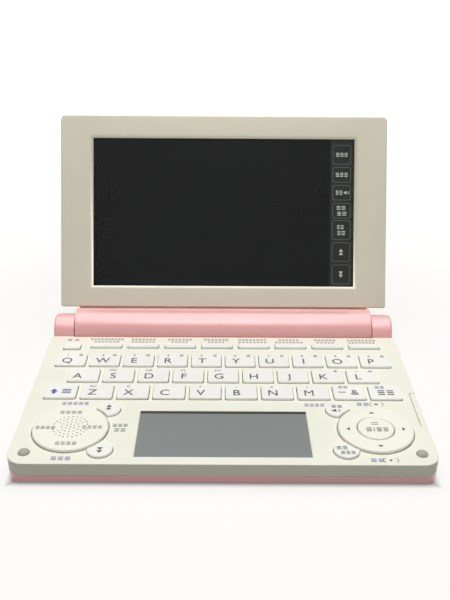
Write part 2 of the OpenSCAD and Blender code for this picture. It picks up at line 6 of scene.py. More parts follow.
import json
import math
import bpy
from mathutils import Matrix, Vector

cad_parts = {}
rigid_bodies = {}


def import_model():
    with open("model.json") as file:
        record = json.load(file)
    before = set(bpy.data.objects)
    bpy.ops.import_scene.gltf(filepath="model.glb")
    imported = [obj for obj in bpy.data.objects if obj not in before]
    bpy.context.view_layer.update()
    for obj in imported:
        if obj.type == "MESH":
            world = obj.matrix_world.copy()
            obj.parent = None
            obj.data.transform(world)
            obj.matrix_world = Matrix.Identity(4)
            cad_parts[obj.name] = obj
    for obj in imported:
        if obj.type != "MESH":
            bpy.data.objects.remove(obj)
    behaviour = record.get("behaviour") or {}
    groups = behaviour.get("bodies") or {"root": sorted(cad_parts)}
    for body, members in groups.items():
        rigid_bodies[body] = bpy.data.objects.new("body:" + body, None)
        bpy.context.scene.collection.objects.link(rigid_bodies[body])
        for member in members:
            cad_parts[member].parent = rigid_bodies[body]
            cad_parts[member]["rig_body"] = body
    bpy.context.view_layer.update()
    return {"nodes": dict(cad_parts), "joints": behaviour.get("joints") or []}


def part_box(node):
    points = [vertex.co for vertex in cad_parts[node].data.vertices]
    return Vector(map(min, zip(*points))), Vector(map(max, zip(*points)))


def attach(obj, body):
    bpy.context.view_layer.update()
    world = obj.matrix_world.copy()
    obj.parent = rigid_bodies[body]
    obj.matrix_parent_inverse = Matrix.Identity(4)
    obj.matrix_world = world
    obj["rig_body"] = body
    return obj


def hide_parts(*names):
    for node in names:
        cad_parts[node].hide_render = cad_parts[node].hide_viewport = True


bl_info = {
    "name": "Electronic dictionary",
    "version": (1, 0, 0),
    "blender": (4, 5, 0),
    "location": "3D View > Sidebar > Dictionary",
    "description": "Builds the cases, keys, dials, screens and prints of an electronic dictionary",
    "category": "Object",
}

import bmesh
import bpy
from bpy.props import FloatProperty, FloatVectorProperty, PointerProperty
from mathutils import Matrix, Vector

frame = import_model()

MM = 0.001

# ---- where the model's parts are ----

PLATE_TOP = 9.1
SPLIT = 4.1  # the seam between the two cases
CASE_HALF = (74.0, 52.0)
CASE_CORNER = 6.0
SEAM_EDGE = 0.12  # rounding along that seam
NEAR = 0.1  # how close to a surface the middle of an edge is when it belongs there
FLUSH = 0.05
BUMPER_DOME = 1.25
KEY_FLANGE = 0.5
KEY_CORNER = 0.9
TUCK = 0.2  # how far keys and dials narrow below the plate's surface
NECK = (PLATE_TOP - 0.2, PLATE_TOP + 0.05)  # the heights between which they narrow
DIAL_MIDDLE = (54.7, -32.4)  # of the right dial; the left one mirrors it
DIAL_R = 13.5
DIAL_FOOT = 6.6
DIAL_FLANGE = (14.6, 7.15)  # radius and top of the flange under the plate
ROUND_KEY_AWAY = 12.1  # from a dial's middle, sideways and forwards or back
PAD_EDGE = (31.2, -48.0, -19.8)  # half width, front and back that hold the handwriting window's rim
PAD_ROOM = (32.0, -49.0, -18.6)  # the same for the space that the rim's slope needs
LEAN = math.radians(65)  # the lid's own Y axis above the horizontal
HINGE = next(j for j in frame["joints"] if j["name"] == "lid_hinge")["pos_m"]
LID = Matrix.Translation(Vector(HINGE) / MM) @ Matrix.Rotation(LEAN, 4, "X")
TO_LID = LID.inverted()
BEZEL_FACE = -2.09
LID_BACK = -7.69
GLASS_FACE = -3.04
WINDOW = (-57.9, 57.9, 18.3, 83.7)
BARREL_R = 8.4
BARREL_END = 64.4
CAP_MIDDLE = Vector((0, HINGE[1] / MM - 1, HINGE[2] / MM - 1))
CAP_R = 7.4
CAP_ENDS = (64.7, 73.5)  # where the fixed hinge caps begin and end, from the middle outwards


def body_of(node):
    """The body that a CAD node rides on."""
    return frame["nodes"][node]["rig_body"]


def span(node):
    """Lowest and highest corner of a CAD node, in millimetres."""
    low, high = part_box(node)
    return low / MM, high / MM


def place_of(low, high):
    """The middle from above, x and y, and the top's height."""
    return (low.x + high.x) / 2, (low.y + high.y) / 2, high.z


def is_near(value, target):
    """Whether a length, to either side, is the one looked for."""
    return abs(abs(value) - target) < NEAR


def is_inside(middle, half_width, front, back):
    return abs(middle.x) < half_width and front < middle.y < back


# ---- sizes and colours to change ----


def srgb(red, green, blue):
    """A colour as seen, 0 to 255, in the linear values that Blender keeps."""
    return tuple(
        c / 12.92 if c <= 0.04045 else ((c + 0.055) / 1.055) ** 2.4
        for c in (red / 255, green / 255, blue / 255)
    )


def tint(name, text, *rgb):
    """A colour property."""
    return FloatVectorProperty(
        name=name, description=text, subtype="COLOR", size=3, min=0, max=1, default=srgb(*rgb)
    )


def measure(name, text, millimetres, highest):
    """A length property, kept in metres."""
    return FloatProperty(
        name=name, description=text, subtype="DISTANCE", unit="LENGTH", precision=5,
        default=millimetres * MM, min=0, max=highest * MM,
    )


def share(name, text, value, highest=1.0):
    """A plain number property."""
    return FloatProperty(name=name, description=text, subtype="FACTOR", default=value, min=0, max=highest)


class DictionaryCase(bpy.types.PropertyGroup):
    """Cases, hinge and lid."""

    ivory: tint("Ivory", "Upper case of the base", 248, 248, 232)
    pink: tint("Pink", "Pearl pink of the barrel, the lid's back and the lower case", 244, 172, 172)
    pink_flake: tint("Pink flake", "Light flakes in the pink paint", 255, 226, 222)
    champagne: tint("Champagne", "Frame round the main screen", 214, 208, 188)
    champagne_flake: tint("Champagne flake", "Light flakes in the frame's paint", 240, 236, 216)
    opening_edge: measure("Opening edge", "Rounding of the plate's openings", 0.14, 0.3)
    rim_edge: measure("Rim edge", "Rounding of the plate's outer rim", 0.3, 0.8)
    lid_edge: measure("Lid edge", "Rounding of the lid's outer edges", 0.6, 0.7)
    window_edge: measure("Window edge", "Slope round the main screen's window", 0.8, 0.9)
    cap_edge: measure("Cap edge", "Rounding of the hinge caps' ends", 1.0, 1.5)
    dust: share("Dust", "Dust that has settled on faces that look up", 0.05)


class DictionaryKeys(bpy.types.PropertyGroup):
    """Keys, dials and what is printed on them."""

    cap: tint("Key cap", "Keys under the fingers", 252, 252, 246)
    dial: tint("Dial", "Dials and the enter key", 252, 252, 238)
    print_grey: tint("Grey print", "Letters and most marks", 92, 92, 90)
    print_violet: tint("Violet print", "Marks of second functions", 92, 90, 160)
    edge: measure("Key edge", "How far a key's rounded side slopes in", 0.25, 0.8)
    side: measure("Key side", "Height of a key's rounded side", 0.32, 0.8)
    dish: measure("Key dish", "How far a key's top is hollowed", 0.07, 0.15)
    letter_height: measure("Letter height", "Height of a capital letter", 3.9, 5.0)
    letter_width: measure("Letter width", "Width of a capital H", 3.3, 5.0)
    print_rise: measure("Print rise", "How far a print stands above its surface", 0.015, 0.05)


class DictionaryScreens(bpy.types.PropertyGroup):
    """Main screen, its touch strip and the handwriting panel."""

    glass: tint("Glass", "Tint of the main screen's glass", 214, 218, 216)
    off: tint("Screen", "Main screen when it is off", 12, 12, 13)
    strip: tint("Strip", "Film with the touch keys", 50, 50, 46)
    outline: tint("Outline", "Boxes of the touch keys", 128, 128, 120)
    icon: tint("Icon", "Marks of the touch keys", 250, 250, 240)
    panel: tint("Panel", "Handwriting panel when it is off", 132, 137, 135)


class DictionaryStage(bpy.types.PropertyGroup):
    """Floor and lamps."""

    floor: tint("Floor", "Floor and backdrop", 142, 138, 132)
    overhead: FloatProperty(name="Overhead", description="Lamp above", default=9.0, min=0, unit="POWER")
    front: FloatProperty(name="Front", description="Lamp high in front", default=1.9, min=0, unit="POWER")
    air: share("Air", "Even light from all round", 0.12, 2.0)


def look(name):
    """One group of settings, by the last word of its name."""
    return getattr(bpy.context.scene, "dictionary_" + name)


# ---- shader nodes ----

WHITE = (1.0, 1.0, 1.0, 1.0)


def node(tree, kind, sockets=None, **settings):
    """Adds a shader node; a socket given a socket is linked, and given a value is set."""
    made = tree.nodes.new("ShaderNode" + kind)
    for key, value in settings.items():
        setattr(made, key, value)
    for key, value in (sockets or {}).items():
        if isinstance(value, bpy.types.NodeSocket):
            tree.links.new(value, made.inputs[key])
        else:
            made.inputs[key].default_value = value
    return made


def rgba(colour):
    return (*tuple(colour)[:3], 1.0)


def darker(colour, factor):
    return rgba([c * factor for c in colour])


def blended(tree, factor, first, second):
    """A colour between two."""
    return node(tree, "Mix", {0: factor, 6: first, 7: second}, data_type="RGBA").outputs[2]


def calc(tree, operation, *values):
    return node(tree, "Math", dict(enumerate(values)), operation=operation).outputs[0]


def ranged(tree, value, low, high, to_low=0.0, to_high=1.0):
    """A value carried from one range to another, and held inside it."""
    sockets = {"Value": value, "From Min": low, "From Max": high, "To Min": to_low, "To Max": to_high}
    return node(tree, "MapRange", sockets).outputs[0]


def own_place(tree):
    """Object coordinates, shifted for each object so that like pieces differ."""
    seed = calc(tree, "MULTIPLY", node(tree, "ObjectInfo").outputs["Random"], 3.0)
    where = node(tree, "TexCoord").outputs["Object"]
    return node(tree, "VectorMath", {0: where, 1: seed}, operation="ADD").outputs[0]


def noise(tree, scale, detail, distortion=0.0):
    sockets = {"Vector": own_place(tree), "Scale": scale, "Detail": detail, "Distortion": distortion}
    return node(tree, "TexNoise", sockets).outputs[0]


def fill_grain(tree, given):
    broad = noise(tree, calc(tree, "MULTIPLY", given["Scale"], 0.02), 3.0)
    return {"Height": noise(tree, given["Scale"], 2.0), "Mottle": ranged(tree, broad, 0.3, 0.7)}


def fill_edge_wear_and_highlight(tree, given):
    # Rounded edges get a lighter colour, broken up by noise: edge wear, and partly a painted highlight where
    # edges catch the light.
    broken = ranged(tree, noise(tree, 700.0, 4.0), 0.35, 0.6, 0.25, 1.0)
    edge = node(tree, "Attribute", attribute_name="edge_mask").outputs["Fac"]
    mask = calc(tree, "MULTIPLY", calc(tree, "MULTIPLY", edge, broken), given["Amount"])
    rough = node(tree, "Mix", {0: mask, 2: given["Roughness"], 3: given["Edge Roughness"]})
    return {
        "Color": blended(tree, mask, given["Color"], given["Edge Color"]),
        "Roughness": rough.outputs[0],
    }


def fill_dust(tree, given):
    up = node(tree, "SeparateXYZ", {0: node(tree, "TexCoord").outputs["Normal"]}).outputs["Z"]
    specks = ranged(tree, noise(tree, 160.0, 8.0), 0.48, 0.7)
    mask = calc(tree, "MULTIPLY", specks, ranged(tree, up, 0.5, 0.95))
    mask = calc(tree, "MULTIPLY", mask, given["Amount"])
    return {"Color": blended(tree, mask, given["Color"], given["Dust Color"])}


def fill_flakes(tree, given):
    cells = node(tree, "TexVoronoi", {"Vector": own_place(tree), "Scale": given["Scale"]})
    pick = node(tree, "SeparateColor", {0: cells.outputs["Color"]}).outputs[0]
    mask = calc(tree, "MULTIPLY", ranged(tree, pick, 0.45, 1.0), given["Amount"])
    return {"Color": blended(tree, mask, given["Color"], given["Flake Color"])}


def fill_smudge(tree, given):
    smear = ranged(tree, noise(tree, 42.0, 5.0, 1.2), 0.4, 0.75)
    rough = calc(tree, "MULTIPLY_ADD", smear, given["Amount"], given["Roughness"])
    return {"Roughness": rough, "Mask": smear}


# each shader node group: how it is filled, its inputs with their values, and its outputs
EFFECTS = {
    "moulded grain": (fill_grain, {"Scale": 3000.0}, ("Height", "Mottle")),
    # lighter rounded edges: edge wear, and partly a painted highlight
    "worn edges": (
        fill_edge_wear_and_highlight,
        {"Color": WHITE, "Edge Color": WHITE, "Roughness": 0.4, "Edge Roughness": 0.3, "Amount": 0.5},
        ("Color", "Roughness"),
    ),
    "settled dust": (
        fill_dust, {"Color": WHITE, "Dust Color": (0.6, 0.57, 0.5, 1.0), "Amount": 0.05}, ("Color",),
    ),
    "paint flakes": (
        fill_flakes, {"Color": WHITE, "Flake Color": WHITE, "Scale": 6000.0, "Amount": 0.3}, ("Color",),
    ),
    "finger smudge": (fill_smudge, {"Roughness": 0.1, "Amount": 0.1}, ("Roughness", "Mask")),
}


def effect(tree, name, sockets):
    """Puts a shader node group in a material; the group is made when it is first asked for."""
    group = bpy.data.node_groups.get(name)
    if not group:
        fill, takes, gives = EFFECTS[name]
        group = bpy.data.node_groups.new(name, "ShaderNodeTree")
        for label, default in takes.items():
            kind = "NodeSocketColor" if isinstance(default, tuple) else "NodeSocketFloat"
            group.interface.new_socket(label, in_out="INPUT", socket_type=kind).default_value = default
        for label in gives:
            kind = "NodeSocketColor" if label == "Color" else "NodeSocketFloat"
            group.interface.new_socket(label, in_out="OUTPUT", socket_type=kind)
        start = group.nodes.new("NodeGroupInput")
        end = group.nodes.new("NodeGroupOutput")
        for label, socket in fill(group, start.outputs).items():
            group.links.new(socket, end.inputs[label])
    return node(tree, "Group", sockets, node_tree=group).outputs


# ---- materials ----


def blank(name, **settings):
    """A new material and its nodes; settings go on the Principled shader's own sockets."""
    material = bpy.data.materials.new(name)
    material.use_nodes = True
    tree = material.node_tree
    for label, value in settings.items():
        tree.nodes["Principled BSDF"].inputs[label.replace("_", " ")].default_value = value
    return material, tree


def wired(material, colour, roughness, height=None, depth=0.001, strength=1.0):
    """Links what was worked out to a material's shader; depth is the bump's, in millimetres."""
    tree = material.node_tree
    inputs = tree.nodes["Principled BSDF"].inputs
    if colour is not None:
        tree.links.new(colour, inputs["Base Color"])
    tree.links.new(roughness, inputs["Roughness"])
    if height is not None:
        bump = node(tree, "Bump", {"Height": height, "Strength": strength, "Distance": depth * MM})
        tree.links.new(bump.outputs[0], inputs["Normal"])
    return material


def made_once(make):
    """For a function whose first argument names a material: the second call gives the first one's."""

    def get(name, *values, **settings):
        return bpy.data.materials.get(name) or make(name, *values, **settings)

    return get


@made_once
def moulded(name, colour, roughness, grain=3200.0, depth=0.006, flake=None, flake_share=0.35,
            edge=1.12, dust=None, **settings):
    """Moulded or painted plastic: grain, soft colour drift, flakes, polished and lightened edges, and dust.

    depth is the grain's height in millimetres; edge lightens the rounded edges, as wear and partly as a
    painted highlight.
    """
    material, tree = blank(name, **settings)
    grains = effect(tree, "moulded grain", {"Scale": grain})
    base = blended(tree, grains["Mottle"], darker(colour, 0.965), rgba(colour))
    if flake:
        flakes = {"Color": base, "Flake Color": rgba(flake), "Scale": 5200.0, "Amount": flake_share}
        base = effect(tree, "paint flakes", flakes)["Color"]
    # edge lightens the rounded edges: wear, and partly a painted highlight.
    edges = effect(tree, "worn edges", {
        "Color": base, "Edge Color": rgba([min(1, c * edge) for c in colour]),
        "Roughness": ranged(tree, grains["Mottle"], 0.0, 1.0, roughness + 0.04, roughness - 0.04),
        "Edge Roughness": roughness * 0.7, "Amount": 0.5,
    })
    amount = look("case").dust if dust is None else dust
    dusted = effect(tree, "settled dust", {"Color": edges["Color"], "Amount": amount})
    return wired(material, dusted["Color"], edges["Roughness"], grains["Height"], depth)


@made_once
def turned_metal(name, colour, roughness):
    """Steel or plated metal with fine turning marks."""
    material, tree = blank(name, Metallic=1.0)
    drawn_out = node(tree, "Mapping", {0: own_place(tree), 3: (900, 900, 9000)}).outputs[0]
    marks = node(tree, "TexNoise", {"Vector": drawn_out, "Scale": 1.0, "Detail": 3.0}).outputs[0]
    # The edges are a tenth lighter: wear, and partly a painted highlight.
    edges = effect(tree, "worn edges", {
        "Color": blended(tree, marks, darker(colour, 0.85), rgba(colour)),
        "Edge Color": darker(colour, 1.1),
        "Roughness": ranged(tree, marks, 0.2, 0.8, roughness + 0.1, roughness),
        "Edge Roughness": 0.2, "Amount": 0.6,
    })
    return wired(material, edges["Color"], edges["Roughness"], marks, 0.003)


@made_once
def print_ink(name, colour, roughness=0.5):
    """Ink that is printed slightly unevenly."""
    material, tree = blank(name, Specular_IOR_Level=0.3)
    grains = effect(tree, "moulded grain", {"Scale": 9000.0})
    uneven = blended(tree, grains["Height"], darker(colour, 0.88), darker(colour, 1.12))
    return wired(
        material, uneven, ranged(tree, grains["Mottle"], 0.0, 1.0, roughness - 0.05, roughness + 0.05)
    )


def ivory_plastic():
    return moulded("ivory plastic", look("case").ivory, 0.42, Specular_IOR_Level=0.4)


def pink_pearl():
    case = look("case")
    return moulded(
        "pink pearl paint", case.pink, 0.32, depth=0.003, flake=case.pink_flake, edge=1.08,
        Metallic=0.1, Coat_Weight=1.0, Coat_Roughness=0.24,
    )


def champagne_pearl():
    case = look("case")
    return moulded(
        "champagne pearl paint", case.champagne, 0.4, depth=0.003, flake=case.champagne_flake,
        flake_share=0.28, edge=1.1, Metallic=0.3, Coat_Weight=0.25, Coat_Roughness=0.2,
    )


def key_plastic():
    return moulded("key plastic", look("keys").cap, 0.38, depth=0.004, edge=1.05, dust=0.03)


def dial_plastic():
    return moulded("dial plastic", look("keys").dial, 0.4, depth=0.005, edge=1.05, dust=0.04)


def soft_rubber():
    return moulded("soft rubber", srgb(176, 176, 160), 0.7, grain=2200.0, depth=0.012, edge=1.25)


def bright_steel():
    return turned_metal("bright steel", srgb(196, 196, 194), 0.28)


def grey_ink():
    return print_ink("grey ink", look("keys").print_grey)


def violet_ink():
    return print_ink("violet ink", look("keys").print_violet)


def touch_glass():
    """Clear hard-coated glass with faint finger marks."""
    material, tree = blank(
        "touch glass", Transmission_Weight=1.0, IOR=1.15, Base_Color=rgba(look("screens").glass),
    )
    marks = effect(tree, "finger smudge", {"Roughness": 0.0, "Amount": 0.02})
    grains = effect(tree, "moulded grain", {"Scale": 1500.0})
    return wired(material, None, marks["Roughness"], grains["Height"], strength=0.4)


def tiles(tree, sockets, **settings):
    where = node(tree, "TexCoord").outputs["Object"]
    return node(tree, "TexBrick", {"Vector": where, **sockets}, **settings).outputs


def display_face(name, colour, pitch, contrast, roughness, specular):
    """A display that is off, with its fine grid of dots and a soft drift of tone."""
    material, tree = blank(name, Specular_IOR_Level=specular)
    light = darker(colour, 1 + contrast)
    grid = tiles(
        tree,
        {"Color1": rgba(colour), "Color2": light, "Mortar": darker(colour, 1 - contrast),
         "Scale": 1 / (pitch * MM), "Mortar Size": 0.12, "Brick Width": 1.0, "Row Height": 1.0},
        offset=0.0,
    )
    marks = effect(tree, "finger smudge", {"Roughness": roughness, "Amount": 0.08})
    tone = blended(tree, marks["Mask"], grid["Color"], light)
    grains = effect(tree, "moulded grain", {"Scale": 2500.0})
    return wired(material, tone, marks["Roughness"], grains["Height"], strength=0.5)


def board_mask():
    """Green solder mask with the faint lines of the tracks under it."""
    material, tree = blank("board mask", Coat_Weight=0.3, Coat_Roughness=0.2)
    greens = [rgba(srgb(*green)) for green in ((24, 92, 58), (30, 104, 66), (60, 140, 90))]
    tracks = tiles(
        tree, {**dict(zip(("Color1", "Color2", "Mortar"), greens)), "Scale": 420.0, "Mortar Size": 0.05}
    )
    dusted = effect(tree, "settled dust", {"Color": tracks["Color"], "Amount": 0.1})
    marks = effect(tree, "finger smudge", {"Roughness": 0.35, "Amount": 0.1})
    return wired(material, dusted["Color"], marks["Roughness"], tracks["Fac"], 0.01)


# ---- meshes ----

SHARP = math.radians(28)  # edges that turn more than this can be rounded
CREASE = math.radians(32)  # and those that turn more than this are shaded as edges


def put(name, data):
    """A new object in the scene."""
    made = bpy.data.objects.new(name, data)
    bpy.context.scene.collection.objects.link(made)
    return made


def taken(work):
    """The finished mesh of an object, which is used up."""
    mesh = bpy.data.meshes.new_from_object(work.evaluated_get(bpy.context.evaluated_depsgraph_get()))
    bpy.data.objects.remove(work)
    bm = bmesh.new()
    bm.from_mesh(mesh)
    bpy.data.meshes.remove(mesh)
    return bm


def clusters(items, neighbours):
    """Items in groups that hang together, by the neighbours of each."""
    left, found = set(items), []
    while left:
        reach, group = [left.pop()], []
        while reach:
            item = reach.pop()
            group.append(item)
            for other in neighbours(item):
                if other in left:
                    left.remove(other)
                    reach.append(other)
        found.append(group)
    return found


def cad_solid(node_name):
    """A CAD node's surface in millimetres, without its triangulation."""
    bm = bmesh.new()
    bm.from_mesh(frame["nodes"][node_name].data)
    bmesh.ops.remove_doubles(bm, verts=bm.verts, dist=2e-6)
    bmesh.ops.dissolve_limit(
        bm, angle_limit=math.radians(0.5), verts=bm.verts, edges=bm.edges, use_dissolve_boundaries=False
    )
    bmesh.ops.scale(bm, vec=(1 / MM,) * 3, verts=bm.verts)
    bm.normal_update()
    return bm


def islands(node_name):
    """Lowest and highest corner of each separate solid of a CAD node, in millimetres."""
    bm = cad_solid(node_name)
    solids = clusters(bm.verts, lambda vert: [edge.other_vert(vert) for edge in vert.link_edges])
    found = [
        [Vector(pick(vert.co[i] for vert in solid) for i in range(3)) for pick in (min, max)]
        for solid in solids
    ]
    bm.free()
    return found


def edge_middle(edge):
    return (edge.verts[0].co + edge.verts[1].co) / 2


def outer_edges(bm):
    """Sharp edges that stand out."""
    return [
        edge for edge in bm.edges
        if len(edge.link_faces) == 2 and edge.is_convex and edge.calc_face_angle(0) > SHARP
    ]


def softened(node_name, width_of, segments=3, slope=0.0, is_sloped=None):
    """A CAD node's surface with its outer edges rounded.

    width_of(middle) gives an edge's rounding from its middle. Edges whose middle is_sloped(middle)
    accepts get a flat slope first.
    """
    bm = cad_solid(node_name)
    if is_sloped:
        chosen = [edge for edge in outer_edges(bm) if is_sloped(edge_middle(edge))]
        bmesh.ops.bevel(
            bm, geom=chosen, offset=slope, offset_type="OFFSET", segments=1, affect="EDGES",
            clamp_overlap=False,
        )
        bm.normal_update()
    rounding = bm.edges.layers.float.new("bevel_weight_edge")
    widths = {edge: width_of(edge_middle(edge)) for edge in outer_edges(bm)}
    widest = max(widths.values())
    for edge, width in widths.items():
        edge[rounding] = width / widest
    mesh = bpy.data.meshes.new("softening")
    bm.to_mesh(mesh)
    bm.free()
    for _ in range(2):
        mesh.materials.append(None)
    work = put("softening", mesh)
    rounder = work.modifiers.new("rounding", "BEVEL")
    rounder.limit_method = "WEIGHT"
    rounder.width = widest
    rounder.segments = segments
    rounder.loop_slide = False
    rounder.use_clamp_overlap = False
    rounder.material = 1
    result = taken(work)
    # edge_mask marks the rounded faces, where the material lightens the colour: edge wear, and partly a
    # painted highlight.
    mask = result.verts.layers.float.new("edge_mask")
    for vert in result.verts:
        vert[mask] = float(all(face.material_index == 1 for face in vert.link_faces))
    for face in result.faces:
        face.material_index = 0
    return result


def piece(name, bm, body, slot, material, *replaced, matrix=None):
    """Makes an object of a mesh in millimetres, in its place in the frame, riding on its body."""
    if matrix is not None:
        bmesh.ops.transform(bm, matrix=matrix, verts=bm.verts)
    bmesh.ops.scale(bm, vec=(MM,) * 3, verts=bm.verts)
    bmesh.ops.recalc_face_normals(bm, faces=bm.faces)
    mesh = bpy.data.meshes.new(name)
    bm.to_mesh(mesh)
    bm.free()
    mesh.materials.append(material)
    mesh.polygons.foreach_set("use_smooth", [True] * len(mesh.polygons))
    mesh.set_sharp_from_angle(angle=CREASE)
    made = put(name, mesh)
    shading = made.modifiers.new("flat faces stay flat", "WEIGHTED_NORMAL")
    shading.keep_sharp = True
    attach(made, body)
    if replaced:
        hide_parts(*replaced)


def polar(radius, turn, middle=(0, 0)):
    """The point at an angle round a middle."""
    return middle[0] + radius * math.cos(turn), middle[1] + radius * math.sin(turn)


def rounded_rect(width, depth, radius, centre=(0, 0), steps=5):
    """Points round a rectangle with round corners, anticlockwise."""
    points = []
    for quarter, (right, back) in enumerate(((1, 1), (-1, 1), (-1, -1), (1, -1))):
        middle = (centre[0] + (width / 2 - radius) * right, centre[1] + (depth / 2 - radius) * back)
        turns = [math.pi / 2 * (quarter + step / steps) for step in range(steps + 1)]
        points += [polar(radius, turn, middle) for turn in turns]
    return points


def round_points(radius, steps):
    return [polar(radius, math.tau * i / steps) for i in range(steps)]


def crescent(radius, cut_radius, cut_middle):
    """A circle round the origin, hollowed by a larger circle, anticlockwise."""
    reach = math.hypot(*cut_middle)
    toward = math.atan2(cut_middle[1], cut_middle[0])
    along = (radius**2 - cut_radius**2 + reach**2) / (2 * reach)
    own = math.acos(along / radius)
    cut = math.acos((reach - along) / cut_radius)
    outer = [polar(radius, toward + own + (math.tau - 2 * own) * i / 40) for i in range(41)]
    hollow = [polar(cut_radius, toward + math.pi + cut * (1 - i / 6), cut_middle) for i in range(1, 12)]
    return outer + hollow


def new_mesh():
    """An empty mesh with a layer that marks its edges, where the colour is lightened: wear, and partly a
    painted highlight.
    """
    bm = bmesh.new()
    bm.verts.layers.float.new("edge_mask")
    return bm


def ring_at(bm, points, height, wear_and_highlight=0.0):
    """New vertices at one height."""
    mask = bm.verts.layers.float["edge_mask"]
    ring = [bm.verts.new((x, y, height)) for x, y in points]
    for vert in ring:
        vert[mask] = wear_and_highlight
    return ring


def bridge(bm, rings):
    """Walls from each ring of vertices to the next; a vertex that comes twice in a face counts once."""
    for low, high in zip(rings, rings[1:]):
        for i in range(len(low)):
            j = (i + 1) % len(low)
            corners = list(dict.fromkeys((low[i], low[j], high[j], high[i])))
            if len(corners) > 2:
                bm.faces.new(corners)


def loft(levels):
    """A closed solid through outlines at rising heights: (points, height, edge share)."""
    bm = new_mesh()
    rings = [ring_at(bm, *level) for level in levels]
    bridge(bm, rings)
    bm.faces.new(rings[0][::-1])
    bm.faces.new(rings[-1])
    return bm


def capped(outline, foot, top, edge, side, dish, reach):
    """A key cap: upright at its foot, then a side that rounds inwards, and a slightly hollow top."""
    levels = [
        (outline(TUCK), foot, 0), (outline(TUCK), NECK[0], 0), (outline(0), NECK[1], 0),
        (outline(0), top - side, 0),
    ]
    for turn in (15, 30, 45, 60, 75):
        angle = math.radians(turn)
        inset, drop = edge * (1 - math.cos(angle)), side * (1 - math.sin(angle))
        levels.append((outline(inset), top - drop, float(turn > 40)))
    levels.append((outline(edge), top, 0))
    for part in (0.25, 0.55, 0.85):
        inset, drop = edge + (reach - edge) * part, dish * math.sin(part * math.pi / 2)
        levels.append((outline(inset), top - drop, 0))
    return loft(levels)


def turned(profile, steps=64, ring=False):
    """A solid turned about Z through (radius, height, edge share) points; ring closes it on itself."""
    bm = new_mesh()
    rows = []
    for radius, height, wear_and_highlight in profile:
        if radius > 1e-6:
            rows.append(ring_at(bm, round_points(radius, steps), height, wear_and_highlight))
        else:
            rows.append(ring_at(bm, [(0, 0)], height, wear_and_highlight) * steps)
    bridge(bm, rows + rows[:1] if ring else rows)
    return bm


def joined(parts):
    """Several meshes as one, and each is used up."""
    whole = new_mesh()
    for bm in parts:
        mesh = bpy.data.meshes.new("part")
        bm.to_mesh(mesh)
        bm.free()
        whole.from_mesh(mesh)
        bpy.data.meshes.remove(mesh)
    return whole


def moved(bm, x=0.0, y=0.0, z=0.0):
    bmesh.ops.translate(bm, vec=(x, y, z), verts=bm.verts)
    return bm


def spun(bm, degrees, axis):
    bmesh.ops.rotate(bm, matrix=Matrix.Rotation(math.radians(degrees), 3, axis), verts=bm.verts)
    return bm


# ---- prints ----

CAPITAL_H = 7.3  # of the built-in font at size 10
CAPITAL_W = 6.0


